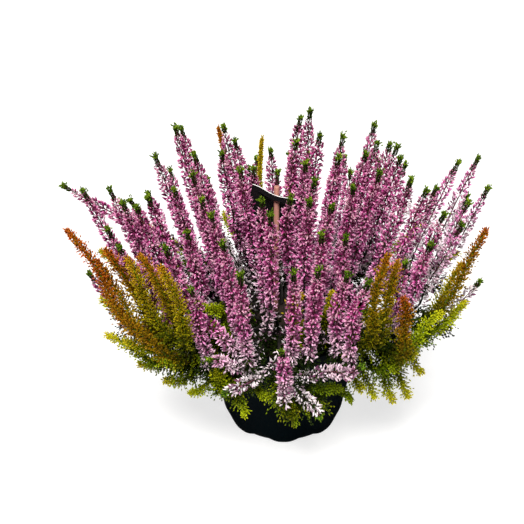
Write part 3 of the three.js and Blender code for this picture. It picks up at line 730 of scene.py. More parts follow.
    def settle(self, shoots: list[Shoot]) -> None:
        """Bends the shoots away from whatever they would run through.

        Args:
            shoots: All the shoots.
        """
        start = 0
        for shoot in shoots:
            shoot.start = start
            start += len(shoot.nodes)
        nodes = np.vstack([shoot.nodes for shoot in shoots])
        balls = self.make_balls(shoots)
        moving = balls.owner >= 0
        fixed_nodes = np.zeros(len(nodes), bool)
        after = np.arange(len(nodes)) + 1
        for shoot in shoots:
            fixed_nodes[shoot.start : shoot.start + shoot.fixed] = True
            after[shoot.start + len(shoot.nodes) - 1] -= 1
        free = np.nonzero(~fixed_nodes)[0]
        first_free = np.array([shoot.start + shoot.fixed for shoot in shoots] + [0])[balls.owner]
        above_ground = moving & (balls.node >= first_free)
        sides = [shoot for shoot in shoots if shoot.parent is not None]
        low, share = balls.node[moving], balls.share[moving][:, None]
        pairs = np.zeros((0, 2), int)
        for turn in range(self.rounds):
            balls.at[moving] = nodes[low] + (nodes[low + 1] - nodes[low]) * share
            if turn % self.pairing == 0:
                pairs = self.close_pairs(balls, shoots, nodes)
            pushes, count = self.pushes_apart(balls, pairs)
            way = self.way_out_of_pot(balls)
            way[~above_ground] = 0
            pushed = (way != 0).any(axis=1)
            pushes[pushed] += way[pushed]
            count[pushed] += 1
            moves, weights = np.zeros_like(nodes), np.zeros(len(nodes))
            np.add.at(moves, low, pushes[moving] * (1 - share))
            np.add.at(moves, low + 1, pushes[moving] * share)
            np.add.at(weights, low, count[moving] * (1 - share[:, 0]))
            np.add.at(weights, low + 1, count[moving] * share[:, 0])
            moves /= np.maximum(weights, 1)[:, None]
            moves[fixed_nodes] = 0
            around = moves[free - 1] + moves[after[free]]
            nodes[free] += self.own_push * moves[free] + self.neighbour_push * around
            for shoot in sides:
                nodes[shoot.start] = nodes[shoot.parent.start + shoot.joint]
        for shoot in shoots:
            shoot.nodes = nodes[shoot.start : shoot.start + len(shoot.nodes)]

    def pushes_apart(self, balls: Balls, pairs: Array) -> tuple[Array, Array]:
        """Adds up how overlapping balls push each other.

        Args:
            balls: The balls.
            pairs: The pairs that are near enough to matter.

        Returns:
            Each ball's push, and how many pushes it got.
        """
        first, second = pairs.T
        apart = balls.at[second] - balls.at[first]
        distance = np.linalg.norm(apart, axis=1)
        overlap = balls.radius[first] + balls.radius[second] + self.clearance - distance
        hit = overlap > 0
        first, second, apart = first[hit], second[hit], apart[hit]
        whole = (balls.owner[first] < 0) | (balls.owner[second] < 0)
        apart *= (np.where(whole, 1.0, 0.5) * overlap[hit] / distance[hit])[:, None]
        pushes, count = np.zeros_like(balls.at), np.zeros(len(balls.at))
        np.add.at(pushes, second, apart)
        np.add.at(pushes, first, -apart)
        np.add.at(count, second, 1)
        np.add.at(count, first, 1)
        return pushes, count


# ---- Fine forms ----


def ring_walls(rings: int, sides: int, first: int = 0) -> list[tuple[int, int, int]]:
    """Lists the triangles between rings that follow each other.

    Args:
        rings: How many rings there are.
        sides: How many corners each has.
        first: The number of the first corner.

    Returns:
        The triangles.
    """
    faces = []
    for start in range(first, first + (rings - 1) * sides, sides):
        for side in range(sides):
            here, beside = start + side, start + (side + 1) % sides
            faces += [(here, beside, beside + sides), (here, beside + sides, here + sides)]
    return faces


def closed_rings(rings: int, sides: int) -> Array:
    """Lists the triangles of rings closed by two more corners, the lower one first.

    Args:
        rings: How many rings there are.
        sides: How many corners a ring has.

    Returns:
        The triangles.
    """
    faces = ring_walls(rings, sides)
    top = (rings - 1) * sides
    below, above = top + sides, top + sides + 1
    for side in range(sides):
        beside = (side + 1) % sides
        faces += [(below, beside, side), (above, top + side, top + beside)]
    return np.array(faces)


def corner_angles(sides: int) -> Array:
    """Gives the angle of each corner of a ring, in radians."""
    return 2 * np.pi * np.arange(sides) / sides


def mesh_of(name: str, points: Array, faces: Array, smooth: bool = True) -> Mesh:
    """Makes a mesh of triangles.

    Args:
        name: Its name.
        points: Its corners, in metres.
        faces: Its triangles.
        smooth: Whether it is shaded smooth.

    Returns:
        The mesh.
    """
    mesh = bpy.data.meshes.new(name)
    mesh.vertices.add(len(points))
    mesh.vertices.foreach_set("co", points.astype(np.float32).ravel())
    mesh.loops.add(faces.size)
    mesh.loops.foreach_set("vertex_index", faces.astype(np.int32).ravel())
    mesh.polygons.add(len(faces))
    mesh.polygons.foreach_set("loop_start", np.arange(0, faces.size, 3, dtype=np.int32))
    mesh.polygons.foreach_set("use_smooth", np.full(len(faces), smooth))
    mesh.update(calc_edges=True)
    return mesh


def piece_of(name: str, mesh: Mesh, materials: list[Material]) -> Object:
    """Makes a piece of a mesh and links it into the scene.

    Args:
        name: Its name.
        mesh: Its mesh.
        materials: Its materials, in the order of the mesh's finish numbers.

    Returns:
        The piece.
    """
    for material in materials:
        mesh.materials.append(material)
    piece = bpy.data.objects.new(name, mesh)
    bpy.context.scene.collection.objects.link(piece)
    return piece


def turned_piece(
    name: str,
    rings: list[Array],
    ends: list[Point],
    material: Material,
) -> Object:
    """Makes a turned piece.

    Args:
        name: Its name.
        rings: Its rings of corners, from the lower end on, in millimetres.
        ends: The middle of its lower and of its upper end.
        material: Its material.

    Returns:
        The piece.
    """
    points = np.vstack([*rings, ends]) * MM
    mesh = mesh_of(name, points, closed_rings(len(rings), len(rings[0])))
    return piece_of(name, mesh, [material])


@dataclass(frozen=True)
class Form:
    """A small closed form along +Z from 0 to 1, to be placed many times."""

    points: Array
    faces: Array

    @classmethod
    def spindle(cls, rings: Curve, sides: int, flat: float = 1.0, turn: float = 0.0) -> "Form":
        """Makes a form that is pointed at both ends.

        Args:
            rings: The height and radius of each ring of corners.
            sides: How many corners a ring has.
            flat: The thickness of its section as a share of its width.
            turn: The turn of the first corner from the width's direction, in radians.

        Returns:
            The form.
        """
        angles = corner_angles(sides) + turn
        points = [np.zeros((1, 3))]
        for height, radius in rings:
            across = radius * np.cos(angles)
            points.append(np.stack([across, radius * flat * np.sin(angles), np.full(sides, height)], 1))
        points.append(np.array([[0.0, 0.0, 1.0]]))
        faces = [(0, 1 + (side + 1) % sides, 1 + side) for side in range(sides)]
        faces += ring_walls(len(rings), sides, 1)
        top = 1 + len(rings) * sides
        last = top - sides
        faces += [(last + side, last + (side + 1) % sides, top) for side in range(sides)]
        return cls(np.vstack(points), np.array(faces))


@dataclass
class Placing:
    """Where copies of a form stand: one row for each copy."""

    base: Array
    along: Array
    across: Array
    length: Array
    width: Array | float
    bend: Array | float = 0.0


@dataclass
class Stations:
    """Places on a line, with its direction there and two directions square to it."""

    place: Array
    along: Array
    across: Array
    third: Array

    def pick(self, chosen: Array) -> "Stations":
        """Keeps some of the stations."""
        rows = (self.place, self.along, self.across, self.third)
        return Stations(*(row[chosen] for row in rows))

    def outward(self, turn: Array) -> Array:
        """Gives the directions away from the line at some turns round it."""
        return self.across * np.cos(turn)[:, None] + self.third * np.sin(turn)[:, None]

    def leaning(self, turn: Array, spread: Array) -> Array:
        """Gives the directions at some turns round the line and some angles from it."""
        away = self.outward(turn) * np.sin(spread)[:, None]
        return unit(self.along * np.cos(spread)[:, None] + away)


class Centreline:
    """A smooth line through a shoot's nodes, with directions square to it."""

    def __init__(self, shoot: Shoot, point: float, step: float = 2.0) -> None:
        """Rounds the line and carries a frame along it.

        Args:
            shoot: The shoot.
            point: How far its point reaches past its last node.
            step: How far apart the samples are.
        """
        self.shoot, nodes = shoot, shoot.nodes
        end = nodes[-1] + unit(nodes[-1] - nodes[-2]) * point
        chain = np.vstack([2 * nodes[0] - nodes[1], nodes, end, 2 * end - nodes[-1]])
        samples = []
        for index in range(1, len(chain) - 2):
            before, here, following, later = chain[index - 1 : index + 3]
            count = max(2, math.ceil(np.linalg.norm(following - here) / step))
            t = np.linspace(0, 1, count, endpoint=False)[:, None]
            curve = (
                2 * here
                + (following - before) * t
                + (2 * before - 5 * here + 4 * following - later) * t**2
                + (3 * here - before - 3 * following + later) * t**3
            ) / 2
            samples.append(curve)
        samples.append(chain[-2][None])
        self.points = np.vstack(samples)
        spans = np.linalg.norm(np.diff(self.points, axis=0), axis=1)
        self.lengths = np.concatenate([[0], np.cumsum(spans)])
        self.total = float(self.lengths[-1])
        counts = np.cumsum([0] + [len(part) for part in samples[:-1]])
        self.foot = self.lengths[counts[shoot.first_ring]]
        self.spike = self.total - point - self.foot
        self.tangents = unit(np.gradient(self.points, axis=0))
        normals = [unit(np.cross(self.tangents[0], ANY_WAY))]
        for tangent in self.tangents[1:]:
            normals.append(unit(normals[-1] - tangent * (normals[-1] @ tangent)))
        self.normals = np.array(normals)

    def read(self, rows: Array, lengths: Array) -> Array:
        """Reads the rows that go with the line's points at some lengths."""
        return np.stack([np.interp(lengths, self.lengths, axis) for axis in rows.T], -1)

    def at(self, lengths: Array) -> Stations:
        """Reads the line at some lengths.

        Args:
            lengths: How far along it.

        Returns:
            The stations there.
        """
        along = unit(self.read(self.tangents, lengths))
        across = unit(square_part(self.read(self.normals, lengths), along))
        return Stations(self.read(self.points, lengths), along, across, np.cross(along, across))


class Growing:
    """Gathers small closed forms into one mesh."""

    def __init__(self) -> None:
        """Starts empty."""
        self.points: list[Array] = []
        self.faces: list[Array] = []
        self.growth: list[Array] = []
        self.finish: list[Array] = []
        self.count = 0

    def add(self, points: Array, faces: Array, growth: Array, finish: int) -> None:
        """Adds a closed form.

        Args:
            points: Its corners, in millimetres.
            faces: Its triangles.
            growth: The growth values of each corner.
            finish: The number of its finish.
        """
        self.points.append(points)
        self.faces.append(faces + self.count)
        self.growth.append(growth)
        self.finish.append(np.full(len(faces), finish))
        self.count += len(points)

    def add_copies(
        self,
        form: Form,
        placing: Placing,
        height: Array | float,
        tone: Array | float,
        finish: int = 0,
    ) -> None:
        """Adds a copy of a form at each place.

        Args:
            form: The form.
            placing: Where the copies stand.
            height: Each copy's height on its shoot, from 0 to 1.
            tone: Each copy's own tone, from 0 to 1.
            finish: The number of their finish.
        """
        number = len(placing.base)
        if number == 0:
            return
        third = np.cross(placing.along, placing.across)
        x, y, z = form.points.T
        width = np.broadcast_to(placing.width, (number,))[:, None]
        length = np.broadcast_to(placing.length, (number,))[:, None]
        bend = np.broadcast_to(placing.bend, (number,))[:, None]
        sideways = width * x[None] + length * bend * (z * z)[None]
        points = (
            placing.base[:, None]
            + sideways[..., None] * placing.across[:, None]
            + (width * y[None])[..., None] * third[:, None]
            + (length * z[None])[..., None] * placing.along[:, None]
        )
        corners = len(form.points)
        faces = form.faces[None] + (np.arange(number) * corners)[:, None, None]
        heights = np.repeat(np.broadcast_to(height, (number,)), corners)
        tones = np.repeat(np.broadcast_to(tone, (number,)), corners)
        growth = np.stack([heights, np.tile(z, number), tones], 1)
        self.add(points.reshape(-1, 3), faces.reshape(-1, 3), growth, finish)

    def add_tube(
        self,
        line: Centreline,
        lengths: Array,
        radii: Array,
        sides: int,
        tone: float,
        finish: int,
    ) -> None:
        """Adds a round stem along a centreline, closed at both ends.

        Args:
            line: The centreline.
            lengths: Where its rings stand.
            radii: The radius of each ring.
            sides: How many corners a ring has.
            tone: Its tone, from 0 to 1.
            finish: The number of its finish.
        """
        spots = line.at(lengths)
        angles = corner_angles(sides)
        ring = np.cos(angles)[None, :, None] * spots.across[:, None]
        ring = ring + np.sin(angles)[None, :, None] * spots.third[:, None]
        walls = (spots.place[:, None] + ring * radii[:, None, None]).reshape(-1, 3)
        points = np.vstack([walls, spots.place[0], spots.place[-1]])
        height = np.concatenate([np.repeat(lengths / line.total, sides), [0.0, 1.0]])
        growth = np.stack([height, np.full(len(points), 0.5), np.full(len(points), tone)], 1)
        self.add(points, closed_rings(len(lengths), sides), growth, finish)

    def make(self, name: str, materials: list[Material]) -> Object:
        """Makes the piece.

        Args:
            name: Its name.
            materials: Its materials, in the order of the finish numbers.

        Returns:
            The piece, linked into the scene.
        """
        mesh = mesh_of(name, np.vstack(self.points) * MM, np.vstack(self.faces), smooth=False)
        values = mesh.attributes.new(GROWTH, "FLOAT_VECTOR", "POINT")
        values.data.foreach_set("vector", np.vstack(self.growth).astype(np.float32).ravel())
        mesh.polygons.foreach_set("material_index", np.concatenate(self.finish).astype(np.int32))
        return piece_of(name, mesh, materials)


# ---- Finishes ----


class Sketch:
    """Lays out the nodes of a material or of a node group."""

    def __init__(self, tree: NodeTree) -> None:
        """Works on a node tree."""
        self.tree = tree

    def add(self, kind: str, inputs: dict | None = None, **settings: object) -> Node:
        """Adds a node.

        Args:
            kind: Its type's name, without the ShaderNode at its start.
            inputs: Values or sockets for its inputs, by name or number.
            **settings: Its own settings.

        Returns:
            The node.
        """
        node = self.tree.nodes.new("ShaderNode" + kind)
        for name, value in settings.items():
            setattr(node, name, value)
        self.feed_all(node, inputs or {})
        return node

    def feed(self, socket: Socket, value: object) -> None:
        """Links a socket to another, or sets its value.

        Args:
            socket: The socket.
            value: The other socket, or the value.
        """
        if isinstance(value, Socket):
            self.tree.links.new(value, socket)
        elif isinstance(value, tuple) and len(value) == 3 and socket.type == "RGBA":
            socket.default_value = (*value, 1.0)
        else:
            socket.default_value = value

    def feed_all(self, node: Node, inputs: dict) -> None:
        """Feeds several inputs of a node, by name or number, with values or sockets."""
        for key, value in inputs.items():
            self.feed(node.inputs[key], value)

    def math(self, operation: str, *values: object) -> Socket:
        """Adds a sum on one to three values and gives its result."""
        return self.add("Math", dict(enumerate(values)), operation=operation).outputs[0]

    def ramp(self, factor: Socket, stops: Ramp) -> Socket:
        """Adds a colour ramp.

        Args:
            factor: What drives it.
            stops: Its places and linear colours.

        Returns:
            The colour.
        """
        node = self.add("ValToRGB", {0: factor})
        elements = node.color_ramp.elements
        while len(elements) < len(stops):
            elements.new(0.5)
        for element, (place, colour) in zip(elements, stops):
            element.position = place
            element.color = (*colour, 1.0)
        return node.outputs[0]

    def mix(self, factor: object, first: object, second: object, blend: str = "MIX") -> Socket:
        """Mixes two colours.

        Args:
            factor: How much of the second.
            first: The first colour.
            second: The second colour.
            blend: How they are mixed.

        Returns:
            The colour.
        """
        node = self.add("Mix", data_type="RGBA", blend_type=blend, clamp_factor=True)
        self.feed_all(node, {0: factor, 6: first, 7: second})
        return node.outputs[2]

    def noise(self, place: object, scale: object, detail: float) -> Socket:
        """Adds a noise read at a place and gives its value, from 0 to 1."""
        return self.add("TexNoise", {"Vector": place, "Scale": scale, "Detail": detail}).outputs[0]

    def growth(self) -> tuple[Socket, ...]:
        """Reads a corner's height on its shoot, its reach along its own form, and its tone."""
        node = self.add("Attribute", attribute_type="GEOMETRY", attribute_name=GROWTH)
        return tuple(self.add("SeparateXYZ", {0: node.outputs["Vector"]}).outputs)


def new_group(
    name: str, inputs: tuple[tuple[str, str, object], ...], outputs: tuple[tuple[str, str], ...]
) -> tuple[NodeTree, Sketch, Node, Node]:
    """Starts a shader node group.

    Args:
        name: Its name.
        inputs: The name, socket type and default value of each input.
        outputs: The name and socket type of each output.

    Returns:
        The group, a sketch on it, its input node and its output node.
    """
    group = bpy.data.node_groups.new(name, "ShaderNodeTree")
    for label, kind, value in inputs:
        socket = group.interface.new_socket(label, in_out="INPUT", socket_type=kind)
        if value is not None:
            socket.default_value = value
    for label, kind in outputs:
        group.interface.new_socket(label, in_out="OUTPUT", socket_type=kind)
    entry = group.nodes.new("NodeGroupInput")
    leave = group.nodes.new("NodeGroupOutput")
    return group, Sketch(group), entry, leave


class Effect(enum.Enum):
    """The effects that several materials use."""

    MOTTLE = "mottle"
    GRAIN = "grain"


class Effects:
    """Builds each shared effect once."""

    finer: float = 3.7

    def __init__(self) -> None:
        """Builds the groups."""
        self.groups = {Effect.MOTTLE: self.build_mottle(), Effect.GRAIN: self.build_grain()}

    def build_mottle(self) -> NodeTree:
        """Builds uneven tone: a colour lightened and darkened in soft patches.

        Returns:
            The group, whose second output is the mask of the patches.
        """
        group, sketch, entry, leave = new_group(
            "Mottle",
            (
                ("Place", "NodeSocketVector", None),
                ("Colour", "NodeSocketColor", (0.5, 0.5, 0.5, 1)),
                ("Scale", "NodeSocketFloat", 40.0),
                ("Amount", "NodeSocketFloat", 0.3),
            ),
            (("Colour", "NodeSocketColor"), ("Mask", "NodeSocketFloat")),
        )
        place, colour, scale, amount = entry.outputs[:4]
        mask = sketch.noise(place, scale, 3.0)
        swing = sketch.math("MULTIPLY", sketch.math("SUBTRACT", mask, 0.5), amount)
        factor = sketch.math("MULTIPLY_ADD", swing, 2.0, 1.0)
        scaled = sketch.add("VectorMath", {0: colour, "Scale": factor}, operation="SCALE")
        sketch.feed_all(leave, {"Colour": scaled.outputs[0], "Mask": mask})
        return group

    def build_grain(self) -> NodeTree:
        """Builds fine relief: bumps of one size with finer ones on them.

        Returns:
            The group.
        """
        group, sketch, entry, leave = new_group(
            "Fine grain",
            (
                ("Place", "NodeSocketVector", None),
                ("Scale", "NodeSocketFloat", 400.0),
                ("Fine share", "NodeSocketFloat", 0.4),
            ),
            (("Height", "NodeSocketFloat"),),
        )
        place, scale, fine_share = entry.outputs[:3]
        coarse = sketch.noise(place, scale, 2.0)
        fine = sketch.noise(place, sketch.math("MULTIPLY", scale, self.finer), 2.0)
        share = sketch.math("MULTIPLY", fine, fine_share)
        sketch.feed_all(leave, {"Height": sketch.math("ADD", coarse, share)})
        return group

    def place(self, sketch: Sketch, effect: Effect, inputs: dict) -> Node:
        """Places an effect in a material.

        Args:
            sketch: The material's sketch.
            effect: Which effect.
            inputs: Values or sockets for its inputs.

        Returns:
            The group's node.
        """
        node = sketch.add("Group", node_tree=self.groups[effect])
        sketch.feed_all(node, inputs)
        return node


@dataclass(frozen=True)
class Texture:
    """How uneven a finish is: soft patches of tone and a fine relief, in metres."""

    patch_scale: float
    patches: float
    grain_scale: float
    grain_depth: float
    grain_strength: float
    stretch: Point = (1.0, 1.0, 1.0)


@dataclass(frozen=True)
class Finish:
    """What every finish shares: a shader whose colour lies in soft patches, and fine relief."""

    name: str
    roughness: float
    gloss: float
    texture: Texture

    def colour_on(self, sketch: Sketch) -> Colour | Socket:
        """Lays out the colour, which is each finish's own."""
        raise NotImplementedError

    def roughness_on(self, sketch: Sketch, mask: Socket) -> object:
        """Gives the roughness, which is even here and may follow the patches' mask."""
        return self.roughness

    def material(self, effects: Effects) -> Material:
        """Makes the material.

        Args:
            effects: The shared effects.

        Returns:
            The material.
        """
        made = bpy.data.materials.new(self.name)
        made.use_nodes = True
        made.node_tree.nodes.clear()
        sketch, texture = Sketch(made.node_tree), self.texture
        place = sketch.add("TexCoord").outputs["Object"]
        place = sketch.add("Mapping", {"Vector": place, "Scale": texture.stretch}).outputs[0]
        patches = {"Colour": self.colour_on(sketch), "Amount": texture.patches}
        patches = {"Place": place, "Scale": texture.patch_scale, **patches}
        mottle = effects.place(sketch, Effect.MOTTLE, patches)
        grain = effects.place(sketch, Effect.GRAIN, {"Place": place, "Scale": texture.grain_scale})
        relief = {"Strength": texture.grain_strength, "Distance": texture.grain_depth}
        bump = sketch.add("Bump", {"Height": grain.outputs["Height"], **relief})
        settings = {
            "Base Color": mottle.outputs["Colour"],
            "Normal": bump.outputs[0],
            "Roughness": self.roughness_on(sketch, mottle.outputs["Mask"]),
            "Specular IOR Level": self.gloss,
        }
        shader = sketch.add("BsdfPrincipled", settings)
        sketch.add("OutputMaterial", {"Surface": shader.outputs[0]})
        return made


@dataclass(frozen=True)
class PetalFinish(Finish):
    """Papery sepals: pale at the foot of a spike, pink to magenta above, with paler tips that are
    partly a painted highlight and deep magenta feet that are partly painted shade.
    """

    by_height: Ramp = ramp_of(
        (0.0, 240, 234, 236),
        (0.2, 236, 200, 220),
        (0.5, 228, 98, 184),
        (0.8, 214, 57, 156),
        (1.0, 182, 37, 117),
    )
    # Painted shade: the heart is each bud's deep magenta foot, partly the bud's own colour and partly
    # shade deep among the buds.
    heart_and_shade: Colour = display_colour(100, 6, 58)
    heart_and_shade_by_reach: Ramp = grey_ramp((0.0, 1.0), (0.5, 0.45), (0.8, 0.0))
    heart_and_shade_by_height: Ramp = grey_ramp((0.0, 0.2), (0.3, 0.6), (0.6, 0.95))
    # Painted highlight: the edge is each bud's pale tip, partly the bud's own colour and partly a
    # highlight.
    edge: Colour = display_colour(250, 224, 238)
    edge_highlight_by_reach: Ramp = grey_ramp((0.5, 0.0), (1.0, 1.0))
    edge_highlight_share: float = 0.6
    faded: Colour = display_colour(214, 190, 188)
    faded_by_tone: Ramp = grey_ramp((0.78, 0.0), (0.9, 1.0))
    faded_share: float = 0.4
    shade_by_tone: Ramp = ((0.0, (0.22, 0.07, 0.16)), (0.52, (1.0, 1.0, 1.0)))

    def colour_on(self, sketch: Sketch) -> Socket:
        """Lays out the colour.

        Args:
            sketch: The material's sketch.

        Returns:
            The colour.
        """
        height, reach, tone = sketch.growth()
        colour = sketch.ramp(height, self.by_height)
        # Painted shade: the heart darkens each bud towards its foot, more so higher up the spike.
        depth = sketch.ramp(reach, self.heart_and_shade_by_reach)
        depth = sketch.math("MULTIPLY", depth, sketch.ramp(height, self.heart_and_shade_by_height))
        colour = sketch.mix(depth, colour, self.heart_and_shade)
        # Painted highlight: buds turn paler towards their tips.
        tip = sketch.ramp(reach, self.edge_highlight_by_reach)
        colour = sketch.mix(sketch.math("MULTIPLY", tip, self.edge_highlight_share), colour, self.edge)
        old = sketch.ramp(tone, self.faded_by_tone)
        colour = sketch.mix(sketch.math("MULTIPLY", old, self.faded_share), colour, self.faded)
        return sketch.mix(1.0, colour, sketch.ramp(tone, self.shade_by_tone), "MULTIPLY")


@dataclass(frozen=True)
class LeafFinish(Finish):
    """Scale leaves, coloured by their height on the shoot, with painted shade at their roots and tips
    that are partly their own paler colour and partly a painted highlight.
    """

    cool: Ramp
    warm: Ramp
    cool_tip_highlight: Ramp
    warm_tip_highlight: Ramp
    shade_by_reach: Ramp = grey_ramp((0.0, 0.06), (0.6, 1.0))
    tip_highlight_by_reach: Ramp = grey_ramp((0.35, 0.0), (1.0, 1.0))
    tip_highlight_share: float = 0.75
    lowest_tip_highlight: float = 0.4

    def colour_on(self, sketch: Sketch) -> Socket:
        """Lays out the colour.

        Args:
            sketch: The material's sketch.

        Returns:
            The colour.
        """
        height, reach, tone = sketch.growth()
        colour = sketch.mix(tone, sketch.ramp(height, self.cool), sketch.ramp(height, self.warm))
        # Painted shade: each leaf or twig darkens towards its root.
        colour = sketch.mix(1.0, colour, sketch.ramp(reach, self.shade_by_reach), "MULTIPLY")
        # Painted highlight, partly the leaves' own paler tips: leaves brighten towards their tips, more
        # so higher on the shoot.
        along = sketch.ramp(reach, self.tip_highlight_by_reach)
        rise = sketch.math("MULTIPLY_ADD", height, 1 - self.lowest_tip_highlight, self.lowest_tip_highlight)
        lit = sketch.math("MULTIPLY", along, sketch.math("MULTIPLY", rise, self.tip_highlight_share))
        cool_tip_highlight = sketch.ramp(height, self.cool_tip_highlight)
        tip = sketch.mix(tone, cool_tip_highlight, sketch.ramp(height, self.warm_tip_highlight))
        return sketch.mix(lit, colour, tip)


@dataclass(frozen=True)
class BarkFinish(Finish):
    """Thin brown bark, redder towards the tip."""

    by_height: Ramp = ramp_of(
        (0.0, 16, 12, 8), (0.45, 28, 20, 14), (0.6, 70, 26, 36), (1.0, 90, 34, 46)
    )

    def colour_on(self, sketch: Sketch) -> Socket:
        """Lays out the colour."""
        return sketch.ramp(sketch.growth()[0], self.by_height)


@dataclass(frozen=True)
class PlainFinish(Finish):
    """A bare surface of one colour, uneven in tone, gloss and relief."""

    colour: Colour
    roughness_spread: float = 0.2

    def colour_on(self, sketch: Sketch) -> Colour:
        """Gives the colour."""
        return self.colour

    def roughness_on(self, sketch: Sketch, mask: Socket) -> Socket:
        """Lays out the roughness, which follows the patches."""
        smoothest = self.roughness - self.roughness_spread / 2
        return sketch.math("MULTIPLY_ADD", mask, self.roughness_spread, smoothest)


POT_PLASTIC = PlainFinish(
    name="Pot plastic",
    roughness=0.45,
    gloss=0.02,
    texture=Texture(30.0, 0.35, 900.0, 0.0003, 0.25),
    colour=display_colour(3, 14, 19),
)
PEAT = PlainFinish(
    name="Peat",
    roughness=0.9,
    gloss=0.4,
    texture=Texture(220.0, 0.7, 500.0, 0.0015, 0.9),
    colour=display_colour(44, 32, 24),
)
STICK_WOOD = PlainFinish(
    name="Stick wood",
    roughness=0.6,
    gloss=0.4,
    texture=Texture(900.0, 0.4, 900.0, 0.0003, 0.5, stretch=(1.0, 1.0, 0.06)),
    colour=display_colour(172, 120, 106),
)
CARD_BACK = PlainFinish(
    name="Card back",
    roughness=0.55,
    gloss=0.4,
    texture=Texture(60.0, 0.3, 1500.0, 0.0001, 0.2),
    colour=display_colour(7, 7, 8),
)
CARD_CORE = PlainFinish(
    name="Card core",
    roughness=0.7,
    gloss=0.4,
    texture=Texture(200.0, 0.2, 1500.0, 0.0001, 0.2),
    colour=display_colour(236, 236, 232),
)
PETAL = PetalFinish(
    name="Petal", roughness=0.5, gloss=0.35, texture=Texture(700.0, 0.3, 2200.0, 0.0002, 0.4)
)
BARK = BarkFinish(
    name="Bark", roughness=0.8, gloss=0.5, texture=Texture(500.0, 0.6, 900.0, 0.0004, 0.7)
)
LEAF_TEXTURE = Texture(300.0, 0.45, 1800.0, 0.0002, 0.4)
# Painted shade: the low ends of these ramps run to near black, as the shade deep inside the plant.
GREEN_LEAF = LeafFinish(
    name="Green leaf",
    roughness=0.5,
    gloss=0.08,
    texture=LEAF_TEXTURE,
    cool=ramp_of((0.0, 5, 10, 2), (0.5, 17, 35, 4), (1.0, 52, 88, 10)),
    warm=ramp_of((0.0, 9, 14, 3), (0.5, 37, 62, 8), (1.0, 104, 144, 18)),
    cool_tip_highlight=ramp_of((0.0, 16, 30, 5), (1.0, 84, 124, 24)),
    warm_tip_highlight=ramp_of((0.0, 36, 52, 9), (1.0, 194, 212, 62)),
)
GOLDEN_LEAF = LeafFinish(
    name="Golden leaf",
    roughness=0.5,
    gloss=0.08,
    texture=LEAF_TEXTURE,
    cool=ramp_of((0.0, 14, 32, 2), (0.2, 84, 110, 4), (0.5, 156, 172, 8), (1.0, 184, 176, 4)),
    warm=ramp_of(
        (0.0, 28, 42, 2), (0.2, 104, 77, 1), (0.45, 132, 78, 2), (0.7, 120, 58, 2), (1.0, 150, 46, 5)
    ),
    cool_tip_highlight=ramp_of((0.0, 64, 90, 8), (0.3, 168, 182, 26), (1.0, 236, 226, 60)),
    warm_tip_highlight=ramp_of((0.0, 84, 94, 10), (0.35, 190, 144, 20), (1.0, 212, 124, 36)),
)


# ---- The pot, the peat and the label ----


@dataclass
class NurseryPot:
    """A tapered injection-moulded pot with a rim band and a notched foot edge."""

    plan: GrowthPlan
    floor: float = 1.8
    underside: float = 0.9
    band_height: float = 9
    notches: int = 8
    notch_width: float = 15
    notch_height: float = 4
    sides: int = 192

    def outline(self) -> list[Point]:
        """Lists the wall's section from the middle of the underside, round and back inside.

        Returns:
            The radius and height of each corner, and how much the notches lift it.
        """
        plan = self.plan
        foot, rim, top = plan.pot_foot_radius, plan.pot_rim_radius, plan.pot_height
        slope = (rim - plan.rim_band_step - foot) / top
        band = top - self.band_height
        under_band = foot + slope * band
        inner = rim - plan.rim_band_step - plan.pot_wall
        return [
            (foot - 5.0, self.underside, 0),
            (foot - 4.0, 0.2, 0.3),
            (foot - 1.4, 0.0, 1),
            (foot - 0.4, 0.4, 1),
            (foot + 0.1, 1.4, 1),
            (foot + slope * 7 + 0.1, 7.0, 0.25),
            (foot + slope * 12, 12.0, 0),
            (foot + slope * 45, 45.0, 0),
            (under_band - 0.1, band - 1.0, 0),
            (under_band + 0.4, band - 0.2, 0),
            (under_band + plan.rim_band_step - 0.3, band + 0.2, 0),
            (under_band + plan.rim_band_step, band + 0.9, 0),
            (rim - 0.05, top - 1.1, 0),
            (rim - 0.3, top - 0.35, 0),
            (rim - 0.9, top, 0),
            (inner + 0.5, top, 0),
            (inner + 0.1, top - 0.3, 0),
            (inner - 0.1, top - 1.2, 0),
            (foot - plan.pot_wall + slope * 20, 20.0, 0),
            (foot - plan.pot_wall, self.floor, 0),
        ]

    def build(self, material: Material) -> Object:
        """Builds the pot and dresses it.

        Args:
            material: Its plastic.

        Returns:
            The pot.
        """
        angles = corner_angles(self.sides)
        period = 2 * np.pi / self.notches
        away = np.abs((angles % period) - period / 2)
        half = self.notch_width / self.plan.pot_foot_radius
        lift = self.notch_height * (0.5 + 0.5 * np.cos(np.pi * np.clip(away / half, 0, 1)))
        rings = []
        for radius, height, share in self.outline():
            x, y = radius * np.cos(angles), radius * np.sin(angles)
            rings.append(np.stack([x, y, height + lift * share], 1))
        ends = [(0, 0, self.underside), (0, 0, self.floor)]
        pot = turned_piece("pot_shell", rings, ends, material)
        shading = pot.modifiers.new("Crisp corners", "WEIGHTED_NORMAL")
        shading.keep_sharp = True
        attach(pot, "root")
        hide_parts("pot")
        return pot


